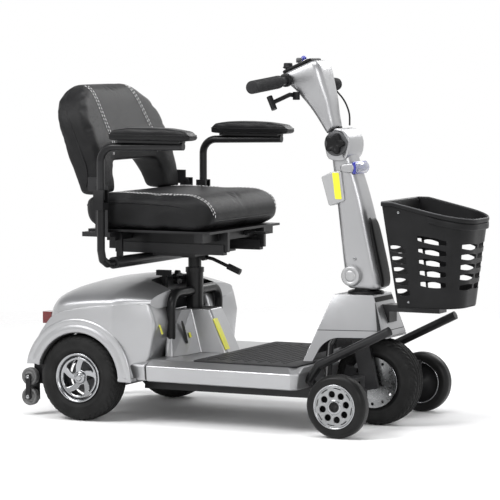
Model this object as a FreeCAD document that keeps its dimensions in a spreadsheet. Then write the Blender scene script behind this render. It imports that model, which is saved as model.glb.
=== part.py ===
import FreeCAD, Part
import math
import os
import re
import Sketcher

# A five-wheeled mobility scooter. X points forward, Y to the rider's left, Z up, in millimetres.
# Most sub-parts are drawn with X counted from the rear axle; rear_axle moves them all into the
# part's own frame, whose origin is on the ground below the middle of the whole machine.

Vector = FreeCAD.Vector
Rotation = FreeCAD.Rotation
Placement = FreeCAD.Placement

SIZES = {
    # the whole machine
    "rear_axle": -394.9, "half_width": 285, "running_gap": 0.05,
    # driven rear wheels and the centre front wheel
    "wheel_radius": 110, "tyre_width": 76, "tyre_shoulder": 13, "rim_radius": 56, "rear_track_half": 248,
    "front_axle": 709, "rear_hub_bore": 10, "front_hub_bore": 8,
    # outrigger wheels and anti-tip rollers
    "small_axle": 715, "small_radius": 78, "small_width": 46, "small_track_half": 270,
    "kingpin_half": 228, "kingpin_radius": 8, "roller_radius": 23, "roller_width": 20,
    "roller_x": -167, "roller_y": 230, "roller_low": 48, "roller_high": 100,
    # frame and deck
    "rail_y": 150, "rail_width": 28, "rail_low": 78, "rail_high": 106, "rear_rail_low": 150,
    "rear_rail_high": 175, "deck_rear": 182, "deck_front": 600, "deck_low": 108, "deck_edge": 148,
    "deck_top": 163, "mat_half": 247, "mat_rear": 306, "mat_front": 594, "mat_low": 160,
    "mat_top": 166, "shell_wall": 4,
    # rear body
    "body_rear": -120, "body_low": 180, "cowl_half": 284, "panel_outer": 288, "lip_outer": 292,
    "arch_x": 3, "arch_inner": 115, "arch_outer": 152, "notch_rear": 112, "notch_half": 108,
    # seat tower
    "post_x": 190, "post_radius": 17, "socket_radius": 22, "socket_top": 365, "hoop_half": 135,
    "hoop_top": 318, "hoop_radius": 12, "prow_half": 41, "pedestal_top": 274,
    # seat
    "seat_half": 225, "seat_front": 350, "seat_rear": -32, "seat_low": 488, "seat_top": 572,
    "back_top": 858, "back_hinge_x": 46, "back_hinge_z": 582, "arm_x": 71, "arm_half": 285,
    "arm_tube": 10, "arm_top": 700, "arm_hinge_z": 575, "crossbar_z": 400, "pad_rear": 106,
    "pad_front": 330,
    # steering, tiller and head
    "rake": 12.65, "fork_offset": 8.8, "stem_radius": 14, "fold_x": 653, "fold_z": 375,
    "tiller_half": 45, "tilt_x": 608, "tilt_z": 705, "head_half": 40, "grip_z": 848,
    # basket
    "basket_rear": 764, "basket_front": 985, "basket_half": 120, "basket_top": 565,
    "basket_low": 305.5, "basket_wall": 3,
}

os.makedirs("parts", exist_ok=True)
doc = FreeCAD.newDocument("mobility_scooter")
sheet = doc.addObject("Spreadsheet::Sheet", "Sizes")
for row, (alias, number) in enumerate(SIZES.items(), start=1):
    sheet.set("A%d" % row, alias)
    sheet.set("B%d" % row, str(number))
    sheet.setAlias("B%d" % row, alias)
doc.recompute()

nodes = {}


# ---------------------------------------------------------------- helpers
def bound(text):
    """Write a formula in the sheet's words as a FreeCAD expression."""
    def swap(word):
        return "Sizes." + word.group() if word.group() in SIZES else word.group()

    return re.sub(r"[a-z]\w*", swap, str(text))


def number(text):
    """Value of a formula written in the sheet's words."""
    result = sheet.evalExpression(bound(text))
    return float(getattr(result, "Value", result))


def keep(label, item):
    """Register an object as the sub-part that is exported under this name."""
    item.Label = label
    nodes[label] = item
    return item


def on_side(point, half):
    """True where a point lies on the left or right face of a part with this half width."""
    return abs(abs(point.y) - SIZES[half]) < 0.1


def place(item, x="0", y="0", z="0", axis=None, angle=0.0):
    """Set a placement whose position is bound to the sheet."""
    turn = Rotation(Vector(*axis), angle) if axis else Rotation()
    item.Placement = Placement(Vector(number(x), number(y), number(z)), turn)
    for letter, text in zip("xyz", (x, y, z)):
        item.setExpression("Placement.Base." + letter, bound(text))
    return item


def body(label):
    return keep(label, doc.addObject("PartDesign::Body", label))


def prism(role, points, length, offset="0", symmetric=True, reverse=False):
    """Plain extruded outline that only serves as a building block of a sub-part."""
    owner = doc.addObject("PartDesign::Body", "profile")
    pad(owner, outline(owner, role, points, offset), length, symmetric, reverse)
    return owner


def origin_plane(owner, role):
    return next(item for item in owner.Origin.OriginFeatures if item.Role == role)


def new_sketch(owner, role, offset):
    drawn = owner.newObject("Sketcher::SketchObject", owner.Name + "_sketch")
    drawn.AttachmentSupport = (origin_plane(owner, role), [""])
    drawn.MapMode = "FlatFace"
    drawn.setExpression("AttachmentOffset.Base.z", bound(offset))
    return drawn


def pin_point(drawn, geometry, position, point):
    """Hold one end of a line or arc at coordinates bound to the sheet."""
    for kind, text in zip(("DistanceX", "DistanceY"), point):
        index = drawn.addConstraint(
            Sketcher.Constraint(kind, -1, 1, geometry, position, number(text)))
        if re.search(r"[a-z]", str(text)):
            drawn.setExpression("Constraints[%d]" % index, bound(text))


def arc_between(start, end, radius):
    """Short arc from start to end; a positive radius keeps its centre on the left."""
    middle = (start + end) * 0.5
    along = end - start
    left = Vector(-along.y, along.x, 0).normalize()
    rise = math.sqrt(max(radius ** 2 - (along.Length / 2) ** 2, 0.0))
    centre = middle + left * math.copysign(rise, radius)
    first, last = (start, end) if radius > 0 else (end, start)
    angles = [math.atan2(p.y - centre.y, p.x - centre.x) for p in (first, last)]
    circle = Part.Circle(centre, Vector(0, 0, 1), abs(radius))
    return Part.ArcOfCircle(circle, angles[0], angles[1])


def outline(owner, role, points, offset="0"):
    """Closed sketch. A third entry on a point is the radius of the arc to the next one."""
    drawn = new_sketch(owner, role, offset)
    spots = [Vector(number(p[0]), number(p[1]), 0) for p in points]
    count = len(points)
    ends = []
    for i, point in enumerate(points):
        start, end = spots[i], spots[(i + 1) % count]
        if len(point) == 3:
            radius = number(point[2])
            index = drawn.addGeometry(arc_between(start, end, radius), False)
            ends.append((1, 2) if radius > 0 else (2, 1))
            held = drawn.addConstraint(Sketcher.Constraint("Radius", index, abs(radius)))
            if re.search(r"[a-z]", str(point[2])):
                drawn.setExpression("Constraints[%d]" % held, bound("abs(%s)" % point[2]))
        else:
            drawn.addGeometry(Part.LineSegment(start, end), False)
            ends.append((1, 2))
    for i in range(count):
        follower = (i + 1) % count
        drawn.addConstraint(
            Sketcher.Constraint("Coincident", i, ends[i][1], follower, ends[follower][0]))
    for i, point in enumerate(points):
        pin_point(drawn, i, ends[i][0], point[:2])
    return drawn


def circles(owner, role, items, offset="0"):
    """Sketch of circles, each (x, y, radius)."""
    drawn = new_sketch(owner, role, offset)
    for i, (x, y, radius) in enumerate(items):
        centre = Vector(number(x), number(y), 0)
        drawn.addGeometry(Part.Circle(centre, Vector(0, 0, 1), number(radius)), False)
        pin_point(drawn, i, 3, (x, y))
        index = drawn.addConstraint(Sketcher.Constraint("Radius", i, number(radius)))
        if re.search(r"[a-z]", str(radius)):
            drawn.setExpression("Constraints[%d]" % index, bound(radius))
    return drawn


def pad(owner, drawn, length, symmetric=False, reverse=False):
    feature = owner.newObject("PartDesign::Pad", owner.Name + "_pad")
    feature.Profile = drawn
    feature.SideType = "Symmetric" if symmetric else "One side"
    feature.Reversed = reverse
    feature.setExpression("Length", bound(length))
    return feature


def pocket(owner, drawn, length=None, symmetric=False, reverse=False):
    """Cut; without a length it goes through everything."""
    doc.recompute()
    before = owner.Shape.Volume
    feature = owner.newObject("PartDesign::Pocket", owner.Name + "_pocket")
    feature.Profile = drawn
    feature.SideType = "Symmetric" if symmetric else "One side"
    feature.Reversed = reverse
    if length is None:
        feature.Type = "ThroughAll"
    else:
        feature.setExpression("Length", bound(length))
    doc.recompute()
    if owner.Shape.Volume > before - 1:
        raise RuntimeError(owner.Label + ": a pocket cut nothing")
    return feature


def revolve(owner, drawn, axis="H_Axis"):
    feature = owner.newObject("PartDesign::Revolution", owner.Name + "_turn")
    feature.Profile = drawn
    feature.ReferenceAxis = (drawn, [axis])
    feature.Angle = 360
    return feature


def polar(owner, feature, role, count):
    pattern = owner.newObject("PartDesign::PolarPattern", owner.Name + "_ring")
    pattern.Originals = [feature]
    pattern.Axis = (origin_plane(owner, role), [""])
    pattern.Angle = 360
    pattern.Occurrences = count
    owner.Tip = pattern
    return pattern


def round_edges(owner, radius, chosen):
    """Fillet the body's edges whose middle point satisfies chosen(edge, middle)."""
    doc.recompute()
    names = []
    for i, edge in enumerate(owner.Shape.Edges, start=1):
        local = owner.Placement.inverse().multVec(edge.valueAt(
            (edge.FirstParameter + edge.LastParameter) / 2))
        if chosen(edge, local):
            names.append("Edge%d" % i)
    last = owner.Tip
    feature = owner.newObject("PartDesign::Fillet", owner.Name + "_round")
    feature.Base = (last, names)
    feature.setExpression("Radius", bound(radius))
    doc.recompute()
    if not names or "Invalid" in feature.State:
        raise RuntimeError(owner.Label + ": a fillet failed")
    return feature


def runs_along(edge, letter):
    if not isinstance(edge.Curve, Part.Line):
        return False
    return abs(getattr(edge.Curve.Direction, letter)) > 0.99


def box(x, y, z):
    """Part::Box from three (low, high) pairs of formulas."""
    item = doc.addObject("Part::Box", "block")
    place(item, x[0], y[0], z[0])
    for name, pair in zip(("Length", "Width", "Height"), (x, y, z)):
        item.setExpression(name, bound("(%s) - (%s)" % (pair[1], pair[0])))
    return item


def cylinder(x, y, z, radius, length, along="z"):
    """Part::Cylinder that starts at a point and runs along an axis."""
    item = doc.addObject("Part::Cylinder", "bar")
    turn = {"z": (None, 0), "x": ((0, 1, 0), 90), "y": ((1, 0, 0), -90)}[along]
    place(item, x, y, z, *turn)
    item.setExpression("Radius", bound(radius))
    item.setExpression("Height", bound(length))
    return item


def fuse(pieces):
    item = doc.addObject("Part::MultiFuse", "joined")
    item.Shapes = pieces
    item.Refine = True
    return item


def cut(base, tools):
    tool = tools[0] if len(tools) == 1 else fuse(tools)
    item = doc.addObject("Part::Cut", "cut")
    item.Base = base
    item.Tool = tool
    item.Refine = True
    return item


def common(first, second):
    item = doc.addObject("Part::MultiCommon", "common")
    item.Shapes = [first, second]
    return item


def compound(pieces):
    item = doc.addObject("Part::Compound", "group")
    item.Links = pieces
    return item


def mirrored(label, source):
    """The same piece on the other side of the machine's middle plane."""
    item = doc.addObject("Part::Mirroring", label)
    item.Source = source
    item.Normal = Vector(0, 1, 0)
    return keep(label, item)


def rod(points, radius):
    """Bent round bar: straight runs with ball corners, made of Part primitives."""
    pieces = []
    for start, end in zip(points, points[1:]):
        low = Vector(*(number(v) for v in start))
        run = Vector(*(number(v) for v in end)) - low
        piece = doc.addObject("Part::Cylinder", "run")
        piece.Placement = Placement(low, Rotation(Vector(0, 0, 1), run))
        piece.setExpression("Radius", bound(radius))
        piece.Height = run.Length
        pieces.append(piece)
    for corner in points[1:-1]:
        ball = doc.addObject("Part::Sphere", "corner")
        place(ball, *corner)
        ball.setExpression("Radius", bound(radius))
        pieces.append(ball)
    return fuse(pieces) if len(pieces) > 1 else pieces[0]


def pipe(owner, path_role, path, bend, start_role, start, radius, offset="0", start_offset="0"):
    """Tube swept along a planar path of straight runs and arcs; with no bend, as large as the runs allow."""
    drawn = new_sketch(owner, path_role, offset)
    spots = [Vector(number(p[0]), number(p[1]), 0) for p in path]
    current = spots[0]
    for before, corner, after in zip(spots, spots[1:], spots[2:]):
        inward = (before - corner).normalize()
        outward = (after - corner).normalize()
        half = inward.getAngle(outward) / 2
        shorter = min(before.distanceToPoint(corner), after.distanceToPoint(corner))
        reach = number(bend) if bend else 0.45 * shorter * math.tan(half)
        back = reach / math.tan(half)
        first, last = corner + inward * back, corner + outward * back
        centre = corner + (inward + outward).normalize() * (reach / math.sin(half))
        middle = centre + (corner - centre).normalize() * reach
        drawn.addGeometry(Part.LineSegment(current, first), False)
        drawn.addGeometry(Part.Arc(first, middle, last), False)
        current = last
    drawn.addGeometry(Part.LineSegment(current, spots[-1]), False)
    section = circles(owner, start_role, [(start[0], start[1], radius)], start_offset)
    feature = owner.newObject("PartDesign::AdditivePipe", owner.Name + "_tube")
    feature.Profile = section
    feature.Spine = (drawn, [])
    return feature


def at_axle(x):
    """Formula for a distance counted from the rear axle."""
    return "rear_axle + (%s)" % x


# ---------------------------------------------------------------- wheels
def tyre(label, radius, width, seat, spot, turn):
    """Tyre turned about Y: flat tread, rounded shoulders and straight side walls."""
    owner = body(label)
    half = "(%s) / 2" % width
    seat_half = "(%s) * 0.355" % width
    tread = "(%s) * 0.316" % width
    flank = "%s + 0.407 * (%s - %s)" % (seat, radius, seat)
    right = [
        (seat_half, seat), (seat_half, "(%s) + 8" % seat), (half, flank),
        (half, "(%s) - 14" % radius, "tyre_shoulder"), (tread, radius),
    ]
    left = [("-(%s)" % tread, radius, "tyre_shoulder"), ("-(%s)" % half, "(%s) - 14" % radius),
            ("-(%s)" % half, flank), ("-(%s)" % seat_half, "(%s) + 8" % seat),
            ("-(%s)" % seat_half, seat)]
    revolve(owner, outline(owner, "YZ_Plane", right + left))
    return place(owner, *spot, axis=(0, 0, 1), angle=turn)


def spoked_rim(label, radius, bore, spot, turn, through):
    """Rim for a wide tyre: barrel with two flanges, a disc with five openings and a hub."""
    owner = body(label)
    lip = "(%s) + 7" % radius
    inside = "(%s) - 5" % radius
    nose = [("30", "20"), ("30", bore)] if through else [("30", "20"), ("30", "0"), ("22", "0"),
                                                         ("22", bore)]
    bore = "%s + %s" % (bore, "running_gap") if through else bore
    points = [
        ("-34", inside), ("-34", lip), ("-27.2", lip), ("-27.2", radius), ("27.2", radius),
        ("27.2", lip), ("34", lip), ("34", inside), ("26", inside), ("26", "24"),
    ] + nose + [("-36", bore), ("-36", "18"), ("18", "18"), ("18", inside)]
    revolve(owner, outline(owner, "YZ_Plane", points))
    opening = outline(owner, "XZ_Plane", [
        ("-4", "27"), ("4", "27"), ("14", "(%s) - 12" % radius, "40"), ("-14", "(%s) - 12" % radius)])
    hole = pocket(owner, opening, symmetric=True)
    polar(owner, hole, "Y_Axis", 5)
    place(owner, *spot, axis=(0, 0, 1), angle=turn)
    return owner


def holed_rim(label, spot, turn):
    """Outrigger rim: barrel and a flat disc with eight round holes."""
    owner = body(label)
    points = [
        ("-18", "45"), ("-18", "54"), ("-16.4", "54"), ("-16.4", "50"), ("16.4", "50"), ("16.4", "54"),
        ("22", "54"), ("22", "47"), ("19", "45"), ("19", "12"), ("20", "12"), ("20", "0"), ("16", "0"),
        ("16", "kingpin_radius + running_gap"), ("-18", "kingpin_radius + running_gap"),
        ("-18", "14"), ("13", "14"), ("13", "45"),
    ]
    revolve(owner, outline(owner, "YZ_Plane", points))
    hole = pocket(owner, circles(owner, "XZ_Plane", [("0", "32", "7.5")]), symmetric=True)
    polar(owner, hole, "Y_Axis", 8)
    place(owner, *spot, axis=(0, 0, 1), angle=turn)
    return owner


def roller(label, height, side):
    owner = body(label)
    half = "roller_width / 2"
    points = [("-(%s)" % half, "4.05"), (half, "4.05"), (half, "roller_radius - 3"),
              ("%s - 3" % half, "roller_radius"), ("3 - %s" % half, "roller_radius"),
              ("-(%s)" % half, "roller_radius - 3")]
    revolve(owner, outline(owner, "YZ_Plane", points))
    place(owner, at_axle("roller_x"), "%d * roller_y" % side, height)
    return owner


for side, name, turn in ((-1, "right", 180), (1, "left", 0)):
    rear_spot = (at_axle("0"), "%d * rear_track_half" % side, "wheel_radius")
    small_spot = (at_axle("small_axle"), "%d * small_track_half" % side, "small_radius")
    tyre("rear_tyre_" + name, "wheel_radius", "tyre_width", "rim_radius", rear_spot, turn)
    spoked_rim("rear_rim_" + name, "rim_radius", "rear_hub_bore", rear_spot, turn, False)
    small_tyre = tyre("small_tyre", "small_radius", "small_width", "50", small_spot, turn)
    small_rim = holed_rim("small_rim", small_spot, turn)
    keep("small_wheel_" + name, compound([small_tyre, small_rim]))
    roller("roller_upper_" + name, "roller_high", side)
    roller("roller_lower_" + name, "roller_low", side)

del nodes["small_tyre"], nodes["small_rim"]
front_spot = (at_axle("front_axle"), "0", "wheel_radius")
tyre("centre_tyre", "wheel_radius", "tyre_width", "rim_radius", front_spot, 180)
spoked_rim("centre_rim", "rim_radius", "front_hub_bore", front_spot, 180, True)


def brake_disc():
    """Perforated disc on a short hat beside the centre wheel's hub."""
    owner = body("brake_disc")
    bore = "front_hub_bore + running_gap"
    revolve(owner, outline(owner, "YZ_Plane", [
        ("-44", bore), ("-30.2", bore), ("-30.2", "19"), ("-41", "19"), ("-41", "64"), ("-44", "64")]))
    hole = pocket(owner, circles(owner, "XZ_Plane", [("0", "54", "4")]), symmetric=True)
    polar(owner, hole, "Y_Axis", 12)
    place(owner, *front_spot)


brake_disc()


# ---------------------------------------------------------------- frame
def main_frame():
    """Lower rails, raised rear rails, cross members, battery tray and the seat socket."""
    blocks = []
    for side in (-1, 1):
        rail = ("%d * rail_y - rail_width / 2" % side, "%d * rail_y + rail_width / 2" % side)
        blocks.append(box((at_axle("130"), at_axle("deck_front")), rail, ("rail_low", "rail_high")))
        blocks.append(box((at_axle("-125"), at_axle("150")), rail,
                          ("rear_rail_low", "rear_rail_high")))
        blocks.append(box((at_axle("130"), at_axle("150")), rail, ("rail_low", "rear_rail_high")))
    across = ("-rail_y", "rail_y")
    blocks.append(box((at_axle("-125"), at_axle("-100")), across, ("rear_rail_low", "rear_rail_high")))
    blocks.append(box((at_axle("-105"), at_axle("130")), across,
                      ("rear_rail_high", "rear_rail_high + 3")))
    blocks.append(box((at_axle("150"), at_axle("232")), across, ("rail_high - 10", "rail_high")))
    blocks.append(box((at_axle("526"), at_axle("554")), across, ("rail_low", "rail_high")))
    blocks.append(cylinder(at_axle("post_x"), "0", "rail_high", "socket_radius",
                           "socket_top - rail_high"))
    hoop = doc.addObject("PartDesign::Body", "hoop")
    pipe(hoop, "YZ_Plane", [
        ("-hoop_half", "rail_high - 8"), ("-hoop_half", "hoop_top"), ("hoop_half", "hoop_top"),
        ("hoop_half", "rail_high - 8")], "36", "XY_Plane", ("post_x", "-hoop_half"), "hoop_radius",
        offset="post_x", start_offset="rail_high - 8")
    blocks.append(place(hoop, "rear_axle"))
    bore = cylinder(at_axle("post_x"), "0", "rail_high + 20", "post_radius + running_gap",
                    "socket_top")
    return keep("main_frame", cut(fuse(blocks), [bore]))


def front_subframe():
    """Forward rails with the kingpin lugs, the head tube and the two guard bars."""
    blocks = []
    for side in (-1, 1):
        rail = ("%d * rail_y - rail_width / 2" % side, "%d * rail_y + rail_width / 2" % side)
        lug = ("%d * rail_y + min(0; %d * 78)" % (side, side),
               "%d * rail_y + max(0; %d * 78)" % (side, side))
        blocks.append(box((at_axle("deck_front"), at_axle("735")), rail, ("rail_low", "rail_high")))
        blocks.append(box((at_axle("702"), at_axle("728")), rail, ("60", "138")))
        for low, high in (("60", "70"), ("128", "138")):
            blocks.append(box((at_axle("702"), at_axle("728")), lug, (low, high)))
            blocks.append(cylinder(at_axle("small_axle"), "%d * kingpin_half" % side, low, "13", "10"))
        blocks.append(cylinder(at_axle("small_axle"), "%d * kingpin_half" % side, "62",
                               "kingpin_radius", "74"))
        blocks.append(rod([(at_axle("614"), "%d * rail_y" % side, "95"),
                           (at_axle("614"), "%d * 215" % side, "130"),
                           (at_axle("640"), "%d * 215" % side, "168"),
                           (at_axle("828"), "%d * 215" % side, "261")], "11"))
        blocks.append(rod([(at_axle("632"), "%d * rail_y" % side, "100"),
                           (at_axle("618"), "%d * 97" % side, "205"),
                           (at_axle("640"), "%d * 60" % side, "268"),
                           (at_axle("678"), "%d * 18" % side, "277")], "9"))
    blocks.append(box((at_axle("690"), at_axle("746")), ("-24", "24"), ("260", "288")))
    blocks.append(box((at_axle("724"), at_axle("880")), ("-24", "24"), ("288", "basket_low - 0.5")))
    column = cylinder("0", "0", "142", "22", "72")
    bore = cylinder("0", "0", "140", "stem_radius + running_gap", "80")
    for item in (column, bore):
        lean(item)
    return keep("front_subframe", cut(fuse(blocks + [column]), [bore]))


def raked_axis():
    """Placement of the steering axis: its foot beside the axle, leaning back by the rake."""
    rake = math.radians(number("rake"))
    offset = number("fork_offset")
    foot = Vector(number(at_axle("front_axle")) + offset * math.cos(rake), 0,
                  number("wheel_radius") + offset * math.sin(rake))
    return Placement(foot, Rotation(Vector(0, 1, 0), -number("rake")))


def lean(item):
    """Turn an object drawn about an upright steering axis to the real, raked one."""
    raked = raked_axis()
    for letter in "xyz":
        item.setExpression("Placement.Base." + letter, None)
    item.Placement = raked.multiply(item.Placement)
    return item


def anti_tip_frame():
    """Cross tube behind the axle with two arms, their link plates and roller pins."""
    blocks = [box((at_axle("-140"), at_axle("-128")), ("-212", "212"), ("118", "146"))]
    for side in (-1, 1):
        inner = ("%d * 206" % side, "%d * 212" % side)
        plate = inner if side > 0 else inner[::-1]
        blocks.append(box((at_axle("roller_x - 14"), at_axle("roller_x + 14")), plate, ("38", "112")))
        blocks.append(box((at_axle("roller_x"), at_axle("-125")), plate, ("80", "146")))
        start = "212" if side > 0 else "-212 - 30"
        for height in ("roller_low", "roller_high"):
            blocks.append(cylinder(at_axle("roller_x"), start, height, "4", "30", "y"))
    for side in (-1, 1):
        blocks.append(box((at_axle("-140"), at_axle("-125")),
                          ("%d * rail_y - 10" % side, "%d * rail_y + 10" % side),
                          ("118", "rear_rail_high")))
    return keep("anti_tip_frame", fuse(blocks))


def transaxle():
    """Axle tubes and stubs, gear housing, motor and the two clamps under the rear rails."""
    blocks = [
        cylinder(at_axle("0"), "-200", "wheel_radius", "20", "400", "y"),
        cylinder(at_axle("0"), "-46", "wheel_radius", "46", "92", "y"),
        cylinder(at_axle("30"), "0", "wheel_radius + 2", "38", "96", "x"),
    ]
    for side in (-1, 1):
        blocks.append(box((at_axle("-22"), at_axle("22")), ("%d * rail_y - 12" % side,
                          "%d * rail_y + 12" % side), ("112", "rear_rail_low")))
    stub = cylinder(at_axle("0"), "-268", "wheel_radius", "rear_hub_bore - running_gap", "536", "y")
    return keep("transaxle", fuse(blocks + [stub]))


def battery_packs():
    """Two sealed batteries side by side on the tray."""
    cases = []
    for side in (-1, 1):
        y = ("15", "145") if side > 0 else ("-145", "-15")
        cases.append(box((at_axle("-80"), at_axle("95")), y,
                         ("rear_rail_high + 3", "rear_rail_high + 108")))
    return keep("battery_packs", compound(cases))


main_frame()
front_subframe()
anti_tip_frame()
transaxle()
battery_packs()


# ---------------------------------------------------------------- steering
def fork():
    """Raked fork: stem, crown, legs, axle, brake caliper and the yoke that the tiller folds in."""
    blocks = [
        box(("-32", "16"), ("-66", "66"), ("122", "141")),
        cylinder("0", "0", "141", "stem_radius", "92"),
        cylinder("0", "0", "226", "31", "8"),
        cylinder("-fork_offset", "-66", "0", "front_hub_bore - running_gap", "132", "y"),
    ]
    for low, high in (("-66", "-54"), ("54", "66")):
        blocks.append(box(("-30", "12"), (low, high), ("-16", "141")))
    for low, high in (("-32", "-25"), ("25", "32")):
        blocks.append(box(("-11", "12"), (low, high), ("232", "284")))
    fold = Vector(number(at_axle("fold_x")), -32, number("fold_z"))
    pin = cylinder("0", "0", "0", "6", "64", "y")
    for letter in "xyz":
        pin.setExpression("Placement.Base." + letter, None)
    pin.Placement = Placement(raked_axis().inverse().multVec(fold), pin.Placement.Rotation)
    blocks.append(pin)
    caliper = [box(("46", "76"), ("-54", "-44.6"), ("-22", "22")),
               box(("65.5", "76"), ("-54", "-38.6"), ("-22", "22")),
               box(("46", "76"), ("-40.4", "-38.6"), ("-22", "22")),
               box(("14", "46"), ("-54", "-48"), ("-12", "12"))]
    clamp = fuse(caliper)
    clamp.Placement = Placement(Vector(-number("fork_offset"), 0, 0), Rotation(Vector(0, 1, 0), -150))
    joined = fuse(blocks + [clamp])
    return keep("fork", lean(joined))


def knuckle(name, side):
    """Short kingpin barrel with the spindle that carries one outrigger wheel."""
    barrel = cylinder(at_axle("small_axle"), "%d * kingpin_half" % side, "71", "14", "56")
    start = "kingpin_half + 10" if side > 0 else "-small_track_half - 15"
    spindle = cylinder(at_axle("small_axle"), start, "small_radius", "kingpin_radius",
                       "small_track_half - kingpin_half + 5", "y")
    bore = cylinder(at_axle("small_axle"), "%d * kingpin_half" % side, "60",
                    "kingpin_radius + running_gap", "80")
    return keep("knuckle_" + name, cut(fuse([barrel, spindle]), [bore]))


fork()
knuckle("right", -1)
knuckle("left", 1)


# ---------------------------------------------------------------- deck and body panels
def deck_tray():
    """Bevelled step-through floor, open underneath, with a shallow bed for the mat."""
    owner = body("deck_tray")
    pad(owner, outline(owner, "YZ_Plane", [
        ("-half_width", "deck_low"), ("half_width", "deck_low"), ("half_width", "deck_edge"),
        ("mat_half + 3", "deck_top"), ("-mat_half - 3", "deck_top"), ("-half_width", "deck_edge"),
    ], "deck_rear"), "deck_front - deck_rear")
    round_edges(owner, "16", lambda edge, p: runs_along(edge, "z") and p.x > 500)
    inner = "half_width - shell_wall"
    pocket(owner, outline(owner, "YZ_Plane", [
        ("-(%s)" % inner, "0"), (inner, "0"), (inner, "deck_edge - 3"),
        ("mat_half", "mat_low - shell_wall"), ("-mat_half", "mat_low - shell_wall"),
        ("-(%s)" % inner, "deck_edge - 3"),
    ], "deck_rear + shell_wall"), "deck_front - deck_rear - 2 * shell_wall", reverse=True)
    pocket(owner, mat_outline(owner, "0", "deck_top"), "deck_top - mat_low")
    wells = [("deck_rear - 1", "218", "150"), ("568", "deck_front + 1", "122")]
    for rear, front, half in wells:
        pocket(owner, outline(owner, "XY_Plane", [
            (rear, "-" + half), (front, "-" + half), (front, half), (rear, half)], "deck_top"))
    return place(owner, "rear_axle")


def mat_outline(owner, gap, height):
    """Plan of the mat, notched at the front for the steering cover."""
    return outline(owner, "XY_Plane", [
        ("mat_rear + %s" % gap, "-mat_half + %s" % gap), ("mat_front - %s" % gap, "-mat_half + %s" % gap),
        ("mat_front - %s" % gap, "-154 - %s" % gap), ("536 - %s" % gap, "-154 - %s" % gap),
        ("536 - %s" % gap, "154 + %s" % gap), ("mat_front - %s" % gap, "154 + %s" % gap),
        ("mat_front - %s" % gap, "mat_half - %s" % gap), ("mat_rear + %s" % gap, "mat_half - %s" % gap),
    ], height)


def deck_mat():
    owner = body("deck_mat")
    pad(owner, mat_outline(owner, "0.5", "mat_low"), "mat_top - mat_low")
    return place(owner, "rear_axle")


def rear_cowl():
    """Upper rear body: the overlap of a side, a front and a plan outline, hollow and open below."""
    def form(inset):
        wall = "- %d" % inset
        side = prism("XZ_Plane", [
            ("body_rear + %d" % inset, "body_low - %d" % (inset * 3)),
            ("190 %s" % wall, "body_low - %d" % (inset * 3)),
            ("190 %s" % wall, "246"), ("170 %s" % wall, "322 %s" % wall),
            ("120 %s" % wall, "347 %s" % wall), ("40", "349 %s" % wall),
            ("-50", "336 %s" % wall), ("-100", "312 %s" % wall),
            ("body_rear + %d" % inset, "268"),
        ], "2 * cowl_half + 10")
        front = prism("YZ_Plane", [
            ("-cowl_half + %d" % inset, "100"), ("cowl_half - %d" % inset, "100"),
            ("cowl_half - %d" % inset, "292"), ("262 - %d" % inset, "314 %s" % wall),
            ("190 - %d" % inset, "332 %s" % wall), ("90", "349 %s" % wall),
            ("-90", "349 %s" % wall), ("-190 + %d" % inset, "332 %s" % wall),
            ("-262 + %d" % inset, "314 %s" % wall), ("-cowl_half + %d" % inset, "292"),
        ], "800")
        plan = prism("XY_Plane", [
            ("body_rear + %d" % inset, "-190"), ("-96", "-250 + %d" % inset),
            ("-50", "-cowl_half + %d" % inset), ("112", "-cowl_half + %d" % inset),
            ("190 %s" % wall, "-228 + %d" % inset), ("172 %s" % wall, "-170"),
            ("172 %s" % wall, "170"), ("190 %s" % wall, "228 - %d" % inset),
            ("112", "cowl_half - %d" % inset), ("-50", "cowl_half - %d" % inset),
            ("-96", "250 - %d" % inset), ("body_rear + %d" % inset, "190"),
        ], "1000")
        notch = box(("notch_rear - %d" % inset, "220"),
                    ("-notch_half - %d" % inset, "notch_half + %d" % inset), ("0", "400"))
        return cut(common(common(side, front), plan), [notch])

    shell = cut(form(0), [form(4)])
    wheel_room = [box(("-140", "136"), pair, ("100", "262")) for pair in
                  (("-300", "-203"), ("203", "300"))]
    seam = [("-140", "100"), ("230", "100"), ("230", "304"), ("186", "303"), ("110", "301"),
            ("62", "297"), ("-20", "284"), ("-66", "273"), ("-140", "225")]
    skirts = []
    for side in (-1, 1):
        beside = prism("XY_Plane", [
            ("-150", "%d * 320" % side), ("240", "%d * 320" % side), ("240", "%d * 196" % side),
            ("203", "%d * 216" % side), ("100", "%d * 274" % side), ("-150", "%d * 274" % side)], "800")
        skirts.append(common(prism("XZ_Plane", seam, "800"), beside))
    item = cut(shell, wheel_room + skirts)
    return keep("rear_cowl", place(item, "rear_axle"))


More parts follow.
